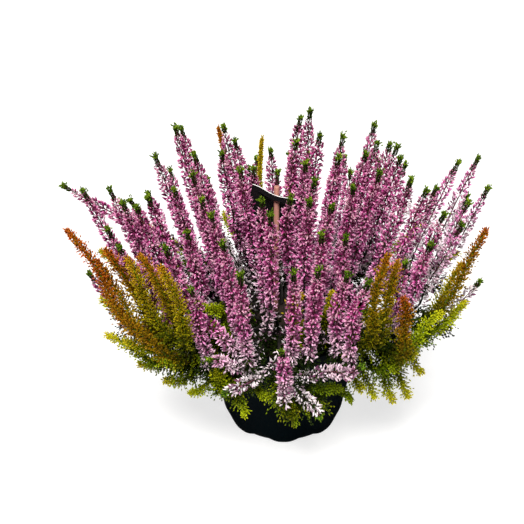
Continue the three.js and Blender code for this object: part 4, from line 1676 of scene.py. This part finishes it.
@dataclass
class PeatBed:
    """The peat's surface: crumbs and short fibres lying on the packed soil."""

    plan: GrowthPlan
    crumbs: int = 900
    radius: float = 53.5
    settled: float = 1
    unevenness: float = 0.9
    wave: float = 7.0
    wave_start: Span = (0.8, -0.4)
    smallest: float = 0.8
    size_range: float = 2.0
    longest_fibre: float = 1.2
    thickness: float = 0.5
    upright: float = 0.4
    sunk: float = 0.3
    seed: int = 11

    def build(self, material: Material) -> Object:
        """Builds the crumbs and dresses them and the soil.

        Args:
            material: The peat.

        Returns:
            The crumbs.
        """
        random = np.random.default_rng(self.seed)
        out = self.radius * np.sqrt(random.random(self.crumbs))
        azimuth = 2 * np.pi * random.random(self.crumbs)
        x, y = out * np.cos(azimuth), out * np.sin(azimuth)
        size = self.smallest + self.size_range * random.random(self.crumbs) ** 2
        along = unit(random.normal(size=(self.crumbs, 3)) * [1, 1, self.upright])
        across = unit(np.cross(along, random.normal(size=(self.crumbs, 3))))
        length = size * (1 + self.longest_fibre * random.random(self.crumbs))
        start_x, start_y = self.wave_start
        swell = np.sin(x / self.wave + start_x) * np.cos(y / self.wave + start_y)
        top = self.plan.soil_top - self.settled + self.unevenness * swell
        base = np.stack([x, y, top - self.sunk], 1) - along * length[:, None] / 2
        crumb = Form.spindle(((0.15, 0.7), (0.5, 1.0), (0.82, 0.65)), 6, flat=0.75)
        bed = Growing()
        placing = Placing(base, along, across, length, size * self.thickness)
        bed.add_copies(crumb, placing, 0.0, random.random(self.crumbs))
        piece = bed.make("peat_crumbs", [material])
        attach(piece, "root")
        soil = frame["nodes"]["soil"]
        soil.data.materials.clear()
        soil.data.materials.append(material)
        return piece


@dataclass
class Label:
    """A bare card, bowed where it is threaded on its stick."""

    plan: GrowthPlan
    stick_bottom: float = 42
    stick_sides: int = 20
    columns: int = 56

    def build_stick(self, material: Material) -> Object:
        """Builds the stick and dresses it.

        Args:
            material: Its wood.

        Returns:
            The stick.
        """
        plan = self.plan
        radius, bottom, top = plan.stick_radius, self.stick_bottom, plan.stick_top
        outline = (
            (radius - 0.3, bottom),
            (radius, bottom + 0.3),
            (radius, 90.0),
            (radius * 0.98, 140.0),
            (radius, top - 0.5),
            (radius - 0.25, top - 0.12),
            (radius - 0.6, top),
        )
        angles = corner_angles(self.stick_sides)
        x, y = plan.stick_place
        rings = [
            np.stack([x + r * np.cos(angles), y + r * np.sin(angles), np.full(len(angles), z)], 1)
            for r, z in outline
        ]
        stick = turned_piece("stick_turned", rings, [(x, y, bottom), (x, y, top)], material)
        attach(stick, "root")
        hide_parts("label_stick")
        return stick

    def sheet(self, low: float, high: float, side: float) -> tuple[Array, Array]:
        """Makes a stretch of the card between two heights.

        Args:
            low: Its lower edge.
            high: Its upper edge.
            side: Which way it is bowed, -1 or 1.

        Returns:
            Its corners and its triangles.
        """
        plan = self.plan
        across = plan.card_width * (np.arange(self.columns + 1) / self.columns - 0.5)
        depth = side * plan.card_bow * np.array([plan.card_bowing(value) for value in across])
        half = plan.card_thickness / 2
        rows = [(depth - half, low), (depth - half, high), (depth + half, high), (depth + half, low)]
        points = np.vstack([np.stack([across, d, np.full(len(across), z)], 1) for d, z in rows])
        faces = []
        count = self.columns + 1
        for row in range(4):
            start, above = row * count, ((row + 1) % 4) * count
            for column in range(self.columns):
                faces.append((start + column, start + column + 1, above + column + 1))
                faces.append((start + column, above + column + 1, above + column))
        end = self.columns
        faces += [(0, count, 2 * count), (0, 2 * count, 3 * count)]
        faces += [(end, 2 * count + end, count + end), (end, 3 * count + end, 2 * count + end)]
        return points, np.array(faces)

    def build_card(self, material: Material, core: Material) -> Object:
        """Builds the card and dresses it.

        Args:
            material: Its faces.
            core: The paler core that shows along its cut top edge.

        Returns:
            The card.
        """
        plan = self.plan
        rotation, place = plan.card_turn()
        points, faces = self.sheet(-plan.card_panel, 0.0, 1)
        strip, strip_faces = self.sheet(0.0, plan.card_top_strip, -1)
        faces = np.vstack([faces, strip_faces + len(points)])
        points = np.vstack([points, strip]) @ rotation.T + place
        mesh = mesh_of("card_sheet", points * MM, faces, smooth=False)
        card = piece_of("card_sheet", mesh, [material, core])
        top = len(faces) // 2 + 2 * self.columns
        for polygon in mesh.polygons[top : top + 2 * self.columns]:
            polygon.material_index = 1
        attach(card, "root")
        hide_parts("label_card")
        return card


# ---- The sprays ----


class Clad(enum.IntEnum):
    """What a stretch of a spray is clad in: the order of the spray's materials."""

    SHOW = 0
    GREEN = 1
    BARK = 2


@dataclass
class Spray:
    """What flowering and golden sprays share: stems, scale leaves and inner twigs.

    Their show is the petals or the golden leaves.
    """

    plan: GrowthPlan
    shoots: list[Shoot]
    name: str
    seed: int
    point: float = 3.0
    tube_sides: int = 5
    tube_step: float = 5.0
    foot_taper: float = 0.7
    foot_length: float = 12
    spike_stem: float = 0.55
    spike_taper: float = 0.6
    twig_spacing: float = 4.5
    twig_shift: float = 2
    lowest_twig: float = 8
    lowest_side_twig: float = 6
    twigs_past_foot: float = 6
    twig_spreads: Span = (0.6, 1.0)
    twig_lengths: Span = (6, 12)
    twig_leaves: int = 5
    twig_bend: float = 0.2
    twig_width: float = 0.4
    twig_shade: float = 0.6
    rim_spacing: float = 1.5
    rim_reach: float = 1.0
    rim_start: float = 4.0
    rim_share: float = 0.6
    rim_nearest: float = 44
    rim_highest: float = 30
    rim_aside: float = 0.9
    rim_fall: Span = (-0.3, 1.1)
    rim_leaves: int = 6
    rim_bend: float = -0.15
    tip_margin: float = 1.5
    root_margin: float = 0.2
    leaf_start: float = 0.25
    leaf_run: float = 0.7
    leaf_scatter: float = 0.4
    leaf_spreads: Span = (0.35, 0.85)
    leaf_out: float = 0.15
    leaf_lengths: Span = (1.7, 2.5)
    leaf_widths: Span = (0.6, 0.84)
    leaf_bend: float = 0.18
    leaf: Form = field(default_factory=lambda: Form.spindle(((0.4, 1.0),), 3, flat=0.7))

    def __post_init__(self) -> None:
        """Starts the draws and the mesh."""
        self.random = np.random.default_rng(self.seed)
        self.growing = Growing()

    def clear_of_pot(self, points: Array, margin: float = 0.6) -> Array:
        """Tells which points are outside the pot's wall and above the soil.

        Args:
            points: The points, in millimetres.
            margin: How far they have to be clear.

        Returns:
            True for each point that is clear.
        """
        plan = self.plan
        out = np.hypot(points[:, 0], points[:, 1])
        height = np.minimum(points[:, 2], plan.pot_height)
        slope = (plan.pot_rim_radius - plan.pot_foot_radius) / plan.pot_height
        outside = out > plan.pot_foot_radius + slope * height + margin
        above = points[:, 2] > plan.pot_height + margin
        inside = (out < plan.pot_rim_radius - 4 - margin) & (points[:, 2] > plan.soil_top + margin)
        return outside | above | inside

    def scale_leaves(
        self,
        axis: Stations,
        turn: Array,
        spread: Array,
        length: Array | float,
        width: Array | float,
        height: Array,
        tone: Array,
        finish: Clad,
        out: float,
    ) -> None:
        """Adds scale leaves round an axis.

        Args:
            axis: Where each leaf meets the axis.
            turn: Each leaf's turn round the axis, in radians.
            spread: The angle between leaf and axis, in radians.
            length: Each leaf's length.
            width: Half of its width.
            height: Its height on the shoot, from 0 to 1.
            tone: Its tone, from 0 to 1.
            finish: Its finish.
            out: How far from the axis it starts.
        """
        direction = axis.leaning(turn, spread)
        inward = unit(square_part(axis.along, direction))
        start = axis.place + axis.outward(turn) * out
        placing = Placing(start, direction, inward, length, width, self.leaf_bend)
        self.growing.add_copies(self.leaf, placing, height, tone, finish)

    def leafy_twigs(
        self,
        root: Array,
        direction: Array,
        length: Array,
        height: Array,
        tone: Array,
        finish: Clad,
        leaves: int,
        bend: float = 0.0,
    ) -> None:
        """Adds thin twigs with scale leaves standing off them.

        Args:
            root: Where each twig starts.
            direction: Its direction there.
            length: Its length.
            height: Its height on the shoot, from 0 to 1.
            tone: Its tone, from 0 to 1.
            finish: Its finish.
            leaves: How many leaves each twig bears.
            bend: How far it curls up, as a share of its length.
        """
        random = self.random
        number = len(root)
        if number == 0:
            return
        across = unit(square_part(UP, direction) + 1e-6)
        third = np.cross(direction, across)
        placing = Placing(root, direction, across, length, self.twig_width, bend)
        self.growing.add_copies(self.leaf, placing, height * self.twig_shade, tone, finish)
        turn = random.uniform(*ANY_TURN, number)
        for leaf in range(leaves):
            at = self.leaf_start + self.leaf_run * leaf / max(leaves - 1, 1)
            curled = across * (length * bend * at * at)[:, None]
            reached = direction * (length * at)[:, None] + curled
            self.scale_leaves(
                Stations(root + reached, direction, across, third),
                turn + GOLDEN_ANGLE * leaf + random.normal(0, self.leaf_scatter, number),
                random.uniform(*self.leaf_spreads, number),
                random.uniform(*self.leaf_lengths, number),
                random.uniform(*self.leaf_widths, number),
                height,
                tone,
                finish,
                self.leaf_out,
            )

    def stem(self, line: Centreline, finish: Clad) -> None:
        """Adds a shoot's own stem, which tapers through its spike.

        Args:
            line: The shoot's centreline.
            finish: Its finish.
        """
        radius, foot = float(line.shoot.radii[0]) - self.plan.fit_gap, line.foot
        count = max(6, int(line.total / self.tube_step))
        lengths = np.linspace(0, line.total - self.point, count)
        taper = (
            (0, radius),
            (foot, radius * self.foot_taper),
            (foot + self.foot_length, self.spike_stem),
            (line.total, self.spike_stem * self.spike_taper),
        )
        radii = read_curve(taper, lengths)
        tone = float(self.random.random())
        self.growing.add_tube(line, lengths, radii, self.tube_sides, tone, finish)

    def inner_twigs(self, line: Centreline, finish: Clad, tone: float) -> None:
        """Adds the short green twigs of a shoot's lower stem.

        Args:
            line: The shoot's centreline.
            finish: Their finish.
            tone: Their tone.
        """
        random = self.random
        main = line.shoot.parent is None
        first = self.plan.root_depth + self.lowest_twig if main else self.lowest_side_twig
        lengths = np.arange(first, line.foot + self.twigs_past_foot, self.twig_spacing)
        number = len(lengths)
        axis = line.at(lengths + random.uniform(-self.twig_shift, self.twig_shift, number))
        turn = GOLDEN_ANGLE * np.arange(number) + random.uniform(*ANY_TURN)
        direction = axis.leaning(turn, random.uniform(*self.twig_spreads, number))
        size = random.uniform(*self.twig_lengths, number)
        tips = axis.place + direction * size[:, None]
        keep = self.clear_of_pot(tips, self.tip_margin)
        keep &= self.clear_of_pot(axis.place + direction * 3, self.root_margin)
        # Painted shade: low heights give these twigs the dark ends of the leaf ramps, which on the
        # green leaves run to near black as the shade deep inside the plant.
        height = random.uniform(0.0, 0.2, keep.sum())
        own = np.clip(tone + random.uniform(-0.2, 0.2, keep.sum()), 0, 1)
        kept = (axis.place[keep], direction[keep], size[keep])
        self.leafy_twigs(*kept, height, own, finish, self.twig_leaves, self.twig_bend)

    def rim_twigs(self, line: Centreline, finish: Clad, tone: float) -> None:
        """Adds the short leafy twigs that hang over the pot's rim.

        Args:
            line: The shoot's centreline.
            finish: Their finish.
            tone: Their tone.
        """
        random = self.random
        lengths = np.arange(self.rim_start, line.total * self.rim_share, self.rim_spacing)
        place = line.at(lengths).place
        out = np.hypot(place[:, 0], place[:, 1])
        highest = self.plan.pot_height + self.rim_highest
        near = (out > self.rim_nearest) & (place[:, 2] < highest)
        place, out = place[near], out[near]
        number = len(place)
        radial = place * [1, 1, 0] / np.maximum(out, 1e-6)[:, None]
        aside = np.cross(radial, UP) * random.normal(0, self.rim_aside, number)[:, None]
        fall = -UP * random.uniform(*self.rim_fall, number)[:, None]
        direction = unit(radial + aside + fall)
        size = random.uniform(*self.twig_lengths, number) * self.rim_reach
        reach = direction * size[:, None]
        keep = self.clear_of_pot(place + reach, self.tip_margin)
        keep &= self.clear_of_pot(place + reach / 2, self.tip_margin)
        keep &= self.clear_of_pot(place, self.root_margin)
        height = random.uniform(0.0, 0.45, keep.sum())
        own = np.clip(tone + random.uniform(-0.2, 0.3, keep.sum()), 0, 1)
        kept = (place[keep], direction[keep], size[keep])
        self.leafy_twigs(*kept, height, own, finish, self.rim_leaves, self.rim_bend)


@dataclass
class FloweringSpray(Spray):
    """Stems that end in dense spikes of closed bud flowers under a leafy green tip."""

    density: float = 4.8
    trail_density: float = 3.2
    longest_trail: float = 66
    bare_root: float = 14
    bare_joint: float = 10
    bud_length: float = 4.4
    bud_width: float = 0.76
    full_reach: float = 4.2
    full_width_reach: float = 4.0
    nearest: float = 0.5
    stalk_share: float = 0.62
    nodding_share: float = 0.16
    aside: float = 0.38
    bract_share: float = 0.1
    green_share: float = 0.08
    neck_lengths: Span = (6.0, 12.0)
    neck_leaves: int = 44
    head_leaves: int = 28
    head_depth: float = 2.2
    head_scatter: float = 0.7
    head_length: float = 2.4
    trailing: Curve = ((-0.7, 0.75), (0, 0.86), (0.1, 0.9), (0.2, 0))
    palest: float = 98
    pinkest: float = 156
    bare_foot: Span = (100, 144)
    bare_share: float = 0.9
    front_depth: float = 40
    middle_side: Span = (30, 90)
    middle_depth: Span = (-20, 30)
    standing: float = 140
    faded_side: Span = (66, 108)
    faded_rise: float = 50
    faded_loss: float = 0.75
    thin_side: Span = (92, 130)
    thin_loss: float = 0.22
    bud: Form = field(default_factory=lambda: Form.spindle(((0.58, 1.0),), 4, flat=0.85, turn=0.4))

    def build(self, materials: list[Material]) -> Object:
        """Builds the spray and dresses it.

        Args:
            materials: The petals, the leaves and the bark.

        Returns:
            The spray.
        """
        for shoot in self.shoots:
            line = Centreline(shoot, self.point)
            self.stem(line, Clad.BARK)
            self.inner_twigs(line, Clad.GREEN, 0.3)
            self.rim_twigs(line, Clad.GREEN, 0.2)
            self.flowers(line)
            self.green_tip(line)
        piece = self.growing.make(self.name.replace("bloom_spray", "flowering_spray"), materials)
        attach(piece, "root")
        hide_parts(self.name)
        return piece

    def bud_lengths(self, line: Centreline) -> tuple[Array, Array]:
        """Spaces a spike's bud flowers, and the sparser ones that trail down its stem.

        Args:
            line: The shoot's centreline.

        Returns:
            How far along the line each one is, and that as a share of the spike.
        """
        foot, spike = line.foot, line.spike
        main = line.shoot.parent is None
        bare = self.plan.root_depth + self.bare_root if main else self.bare_joint
        trail = float(np.clip(foot - bare, 0, self.longest_trail))
        top = foot + spike * (1 - self.green_share)
        below = foot - trail * self.random.random(int(trail * self.trail_density))
        steps = int((top - foot) * self.density)
        even = foot + (top - foot) * np.arange(steps) / steps
        lengths = np.concatenate([below, even + self.random.uniform(-0.5, 0.5, steps)])
        return lengths, (lengths - foot) / spike

    def bareness(self, shoot: Shoot, place: Array, share: Array) -> Array:
        """Tells how bare a shoot's foot is, in the shade of the front and the middle.

        Args:
            shoot: The shoot.
            place: The places of its flowers.
            share: Where they are, as a share of the spike.

        Returns:
            The bareness at each place, from 0 to 1.
        """
        x, y, z = place.T
        low, high = self.bare_foot
        shaded = rise_between(z, high, low) * (share < 0)
        near, far = self.middle_side
        middle = rise_between(np.abs(x), far, near) * rise_between(y, *reversed(self.middle_depth))
        front = rise_between(-y, 0, self.front_depth)
        return shaded * np.maximum(front, middle) * (shoot.nodes[-1][2] > self.standing)

    def flowers(self, line: Centreline) -> None:
        """Adds a shoot's bud flowers and the bracts among them.

        Args:
            line: The shoot's centreline.
        """
        random = self.random
        habit = line.shoot.habit
        lengths, share = self.bud_lengths(line)
        number = len(lengths)
        axis = line.at(lengths)
        turn = GOLDEN_ANGLE * np.arange(number) + random.uniform(-0.5, 0.5, number)
        outward = axis.outward(turn)
        trailing = read_curve(self.trailing, share)
        fullness = np.maximum(read_curve(habit.profile, share), trailing)
        thin = self.thin_loss * rise_between(np.abs(axis.place[:, 0]), *self.thin_side)
        reach = habit.reach * fullness * (1 - thin) * random.uniform(0.78, 1.12, number)
        length = self.bud_length * random.uniform(0.75, 1.12, number)
        length = length * np.clip(reach / self.full_reach, 0.5, 1.0)
        out = random.uniform(self.nearest, self.stalk_share * reach)
        steep = np.arcsin(np.clip((reach - out) / length, 0.2, 0.97))
        nods = random.random(number) < self.nodding_share
        spread = np.where(nods, np.pi - steep, steep)
        aside = np.cross(axis.along, outward) * random.normal(0, self.aside, number)[:, None]
        lengthways = axis.along * np.cos(spread)[:, None]
        direction = unit(lengthways + outward * np.sin(spread)[:, None] + aside)
        start = axis.place + outward * out[:, None]
        fade = rise_between(axis.place[:, 0], *self.faded_side)
        loss = self.faded_loss * fade * np.clip(1.1 - 1.2 * share, 0, 1)
        keep = self.clear_of_pot(start + direction * length[:, None])
        keep &= random.random(number) > loss
        bare = self.bareness(line.shoot, axis.place, share)
        keep &= random.random(number) > self.bare_share * bare
        width = self.bud_width * random.uniform(0.8, 1.2, number)
        width = width * np.clip(reach / self.full_width_reach, 0.65, 1)
        bend = random.uniform(-0.12, 0.2, keep.sum())
        upward = unit(square_part(outward, direction))
        rows = (row[keep] for row in (start, direction, upward, length, width))
        lowest = axis.place[:, 2] - self.palest - fade * self.faded_rise
        level = np.clip(lowest / (self.pinkest - self.palest), 0, 1)
        height = (level * (0.5 + 0.5 * np.clip(share, -0.5, 1)))[keep]
        patch = 0.2 * np.sin(lengths / random.uniform(3, 6) + random.uniform(*ANY_TURN))[keep]
        tone = np.clip(random.random(keep.sum()) + patch, 0, 1)
        self.growing.add_copies(self.bud, Placing(*rows, bend), height, tone, Clad.SHOW)
        bracts = keep & (random.random(number) < self.bract_share)
        count = int(bracts.sum())
        self.scale_leaves(
            axis.pick(bracts),
            turn[bracts] + 0.4,
            random.uniform(0.5, 0.9, count),
            random.uniform(2.2, 3.2, count),
            0.5,
            random.uniform(0.0, 0.5, count),
            random.random(count),
            Clad.GREEN,
            0.5,
        )

    def green_tip(self, line: Centreline) -> None:
        """Adds the leafy point of a spike, darker below and bright at its top.

        Args:
            line: The shoot's centreline.
        """
        random = self.random
        end = line.total - self.head_depth
        start = end - random.uniform(*self.neck_lengths)
        neck = np.linspace(0, 0.92, self.neck_leaves)
        share = np.concatenate([neck, np.full(self.head_leaves, 1.0)])
        number = len(share)
        order = np.arange(number)
        axis = line.at(start + (end - start) * share)
        head = share >= 1
        fresh = random.uniform(0.3, 0.9)
        turn = np.where(head, GOLDEN_ANGLE * order, (order // 2 % 2 + order % 2 * 2) * np.pi / 2)
        neck_spread = random.uniform(0.6, 1.15, number)
        head_spread = random.uniform(0.1, 1.3, number)
        loose = random.normal(0, self.head_scatter, (number, 3))
        loose = loose - axis.along * random.uniform(0, self.head_length, number)[:, None]
        axis.place = axis.place + loose * head[:, None]
        self.scale_leaves(
            axis,
            turn + random.uniform(-0.4, 0.4, number),
            np.where(head, head_spread, neck_spread),
            np.where(head, random.uniform(1.8, 3.0, number), random.uniform(2.1, 3.0, number)),
            np.where(head, 0.75, 0.6),
            np.where(head, random.uniform(0.6, 1.0, number), 0.3 + 0.4 * share),
            np.clip(np.where(head, fresh, 0.2) + random.uniform(-0.4, 0.4, number), 0, 1),
            Clad.GREEN,
            0.4,
        )


@dataclass(frozen=True)
class LeafTone:
    """How a golden spray's leaves have turned, and how full its plumes are.

    Warmth runs from yellow-green (0) to orange (1) and ripeness from deep green (0) to full
    colour (1). The twigs over the rim have their own spacing, and a factor on their length.
    """

    warmth: float = 0.5
    ripeness: float = 1.0
    side_warmth: float = 0.5
    fullness: float = 1.0
    rim_spacing: float = 1.5
    rim_reach: float = 1.0


LEAF_TONES = (
    LeafTone(1.0, 1.3, 0.8, fullness=1.08),
    LeafTone(0.9, 1.0, 0.6, fullness=1.15),
    LeafTone(0.78, 0.95, 0.6),
    LeafTone(0.6, 0.9, 0.1),
    LeafTone(0.1, 1.05, 0.1),
    LeafTone(0.05, 1.2, 0.0),
    LeafTone(0.15, 0.7, 0.0, rim_spacing=0.7),
    LeafTone(0.0, 0.55, 0.0, rim_spacing=0.4, rim_reach=1.4),
    LeafTone(0.0, 0.32, 0.0, fullness=0.9, rim_spacing=0.4, rim_reach=1.4),
    LeafTone(0.8, 0.9, 0.7),
    LeafTone(0.9, 0.95, 0.45),
    LeafTone(0.1, 0.82, 0.0),
    LeafTone(0.95, 0.95, 0.0),
    LeafTone(0.0, 1.05, 0.0, fullness=1.25, rim_spacing=0.6, rim_reach=1.3),
    LeafTone(0.0, 0.9, 0.0, fullness=1.25, rim_spacing=0.6, rim_reach=1.3),
    LeafTone(0.35, 1.0, 0.8, fullness=0.3),
    LeafTone(0.3, 0.9, 0.2),
    LeafTone(0.3, 0.9, 0.2),
    LeafTone(0.2, 0.8, 0.1),
    LeafTone(0.5, 0.9, 0.3),
    LeafTone(0.1, 0.5, 0.1),
)


@dataclass
class GoldenSpray(Spray):
    """Leafy shoots with short side branchlets, green below and gold to orange above."""

    tone: LeafTone = LeafTone()
    spike_stem: float = 0.6
    branchlet_spacing: float = 0.29
    branchlet_start: float = 16
    branchlet_end: float = 3.4
    branchlet_margins: Span = (2.4, 0.4)
    lengths: Curve = ((-0.3, 7.6), (0, 7.6), (0.35, 6.6), (0.7, 5.0), (0.88, 4.0), (1, 2.2))
    spreads: Curve = ((0, 1.0), (0.85, 0.92), (1, 0.6))
    long_share: float = 0.2
    long_factor: float = 1.35
    leaves: int = 3
    axis_start: float = 10
    axis_end: float = 1.2
    axis_spacing: float = 0.6
    axis_leaf_length: float = 2.5
    axis_leaf_width: float = 0.55

    def build(self, materials: list[Material]) -> Object:
        """Builds the spray and dresses it.

        Args:
            materials: The golden leaves, the green leaves and the bark.

        Returns:
            The spray.
        """
        for shoot in self.shoots:
            warmth = self.tone.warmth if shoot.parent is None else self.tone.side_warmth
            line = Centreline(shoot, self.point)
            self.stem(line, Clad.GREEN)
            self.inner_twigs(line, Clad.SHOW, 0.3 * warmth)
            self.rim_twigs(line, Clad.SHOW, 0.1)
            self.branchlets(line, warmth)
            self.clad_axis(line, warmth)
        piece = self.growing.make(self.name.replace("golden_shoot", "golden_spray"), materials)
        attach(piece, "root")
        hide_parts(self.name)
        return piece

    def branchlets(self, line: Centreline, warmth: float) -> None:
        """Adds the short side branchlets.

        Args:
            line: The shoot's centreline.
            warmth: How warm its leaves are.
        """
        random = self.random
        first, last = line.foot - self.branchlet_start, line.total - self.branchlet_end
        lengths = np.arange(first, last, self.branchlet_spacing)
        number = len(lengths)
        share = (lengths - line.foot) / line.spike
        axis = line.at(lengths)
        turn = GOLDEN_ANGLE * np.arange(number) + random.uniform(-0.5, 0.5, number)
        spread = read_curve(self.spreads, share) * random.uniform(0.72, 1.2, number)
        direction = axis.leaning(turn, spread)
        size = read_curve(self.lengths, share) * random.uniform(0.55, 1.0, number)
        longer = np.where(random.random(number) < self.long_share, self.long_factor, 1.0)
        size = size * longer * self.tone.fullness
        tips = axis.place + direction * size[:, None]
        at_tip, at_root = self.branchlet_margins
        keep = self.clear_of_pot(tips, at_tip) & self.clear_of_pot(axis.place, at_root)
        height = np.clip(self.tone.ripeness * (0.2 + 0.78 * share[keep]), 0, 1)
        tone = np.clip(warmth * (0.82 + 0.28 * share[keep]), 0, 1)
        tone = np.clip(tone + random.uniform(-0.12, 0.12, len(tone)), 0, 1)
        kept = (axis.place[keep], direction[keep], size[keep])
        self.leafy_twigs(*kept, height, tone, Clad.SHOW, self.leaves)

    def clad_axis(self, line: Centreline, warmth: float) -> None:
        """Clads the shoot's own axis and its point in scale leaves.

        Args:
            line: The shoot's centreline.
            warmth: How warm its leaves are.
        """
        random = self.random
        first, last = line.foot - self.axis_start, line.total - self.axis_end
        lengths = np.arange(first, last, self.axis_spacing)
        number = len(lengths)
        share = rise_between(lengths, line.foot, line.total)
        pair = np.arange(number)
        turn = (pair // 2 % 2) * np.pi / 2 + (pair % 2) * np.pi
        self.scale_leaves(
            line.at(lengths),
            turn + random.uniform(-0.3, 0.3, number),
            random.uniform(0.45, 0.8, number),
            self.axis_leaf_length,
            self.axis_leaf_width,
            self.tone.ripeness * (0.1 + 0.9 * share),
            np.clip(warmth + 0.1 * share + random.uniform(-0.12, 0.12, number), 0, 1),
            Clad.SHOW,
            0.4,
        )


# ---- The studio ----


@dataclass
class Studio:
    """A plain pale floor, soft lights and the camera. Sizes are in metres."""

    camera_place: Point = (-0.016, -0.669, 0.602)
    camera_pitch: float = 54.9
    lens: float = 80.04
    floor_size: float = 40.0
    floor_colour: Colour = (0.36, 0.36, 0.36)
    floor_glow: float = 0.72
    world_light: float = 0.1
    key_power: float = 6.0
    key_angle: float = 24
    key_tilt: Span = (27, -6)
    key_colour: Colour = (1.0, 0.98, 0.95)
    fill_place: Point = (-1.1, -0.9, 0.8)
    fill_size: float = 1.2
    fill_power: float = 0.6
    fill_colour: Colour = (0.95, 0.98, 1.0)
    plant_middle: float = 0.13

    def build(self) -> None:
        """Builds the floor, the lights, the world and the camera."""
        scene = bpy.context.scene
        self.build_floor()
        self.add_key()
        self.add_fill()
        world = bpy.data.worlds.new("Studio")
        world.use_nodes = True
        world.node_tree.nodes["Background"].inputs[0].default_value = (1, 1, 1, 1)
        world.node_tree.nodes["Background"].inputs[1].default_value = self.world_light
        scene.world = world
        scene.view_settings.view_transform = "Standard"
        data = bpy.data.cameras.new("camera")
        data.lens = self.lens
        data.sensor_width = 36.0
        data.clip_start = 0.01
        camera = bpy.data.objects.new("camera", data)
        camera.location = self.camera_place
        camera.rotation_euler = (math.radians(self.camera_pitch), 0.0, 0.0)
        scene.collection.objects.link(camera)
        bpy.context.scene.camera = camera

    def build_floor(self) -> None:
        """Builds the floor."""
        half = self.floor_size / 2
        corners = np.array([[-half, -half, 0], [half, -half, 0], [half, half, 0], [-half, half, 0]])
        mesh = mesh_of("floor", corners, np.array([[0, 1, 2], [0, 2, 3]]))
        material = bpy.data.materials.new("Floor")
        material.use_nodes = True
        sketch = Sketch(material.node_tree)
        seen = sketch.add("LightPath").outputs["Is Camera Ray"]
        glow = sketch.mix(seen, grey(0.0), grey(self.floor_glow))
        settings = {
            "Base Color": self.floor_colour,
            "Roughness": 0.9,
            "Emission Strength": 1.0,
            "Emission Color": glow,
        }
        sketch.feed_all(material.node_tree.nodes["Principled BSDF"], settings)
        piece_of("floor", mesh, [material])

    def add_light(self, name: str, kind: str, power: float, colour: Colour, turn: Point) -> Object:
        """Adds a light.

        Args:
            name: Its name.
            kind: Its kind.
            power: Its power.
            colour: Its colour.
            turn: Its rotation, in radians.

        Returns:
            The light.
        """
        data = bpy.data.lights.new(name, kind)
        data.energy = power
        data.color = colour
        light = bpy.data.objects.new(name, data)
        light.rotation_euler = turn
        bpy.context.scene.collection.objects.link(light)
        return light

    def add_key(self) -> None:
        """Adds the broad key light, a sun that stands high in front of the plant."""
        across, aside = self.key_tilt
        turn = (math.radians(across), math.radians(aside), 0.0)
        light = self.add_light("key", "SUN", self.key_power, self.key_colour, turn)
        light.data.angle = math.radians(self.key_angle)

    def add_fill(self) -> None:
        """Adds the square soft fill light, which faces the plant."""
        aim = unit(np.array([0, 0, self.plant_middle]) - np.array(self.fill_place))
        turn = (math.acos(-aim[2]), 0.0, math.atan2(aim[0], -aim[1]) + math.pi)
        light = self.add_light("fill", "AREA", self.fill_power, self.fill_colour, turn)
        light.data.size = self.fill_size
        light.location = self.fill_place


def main() -> None:
    """Builds every sub-assembly in order."""
    logging.basicConfig(level=logging.INFO, format="%(name)s: %(message)s")
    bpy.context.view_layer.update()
    Studio().build()
    effects = Effects()
    plan = GrowthPlan()
    sprays = plan.grow()
    NurseryPot(plan).build(POT_PLASTIC.material(effects))
    LOG.info("pot built")
    PeatBed(plan).build(PEAT.material(effects))
    LOG.info("peat built")
    label = Label(plan)
    label.build_stick(STICK_WOOD.material(effects))
    label.build_card(CARD_BACK.material(effects), CARD_CORE.material(effects))
    LOG.info("label built")
    petal = PETAL.material(effects)
    green = GREEN_LEAF.material(effects)
    golden = GOLDEN_LEAF.material(effects)
    bark = BARK.material(effects)
    faces = 0
    for index, shoots in enumerate(sprays):
        flowering = index < len(BLOOM_TIPS)
        order = index if flowering else index - len(BLOOM_TIPS)
        name = shoots[0].habit.prefix + f"{order + 1:02d}"
        if flowering:
            piece = FloweringSpray(plan, shoots, name, index).build([petal, green, bark])
        else:
            tone = LEAF_TONES[order]
            rim = {"rim_spacing": tone.rim_spacing, "rim_reach": tone.rim_reach}
            spray = GoldenSpray(plan, shoots, name, index, tone=tone, **rim)
            piece = spray.build([golden, green, bark])
        faces += len(piece.data.polygons)
        LOG.info("%s built, %d faces", piece.name, len(piece.data.polygons))
    LOG.info("%d faces in the sprays", faces)
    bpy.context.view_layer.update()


if __name__ == "__main__":
    main()
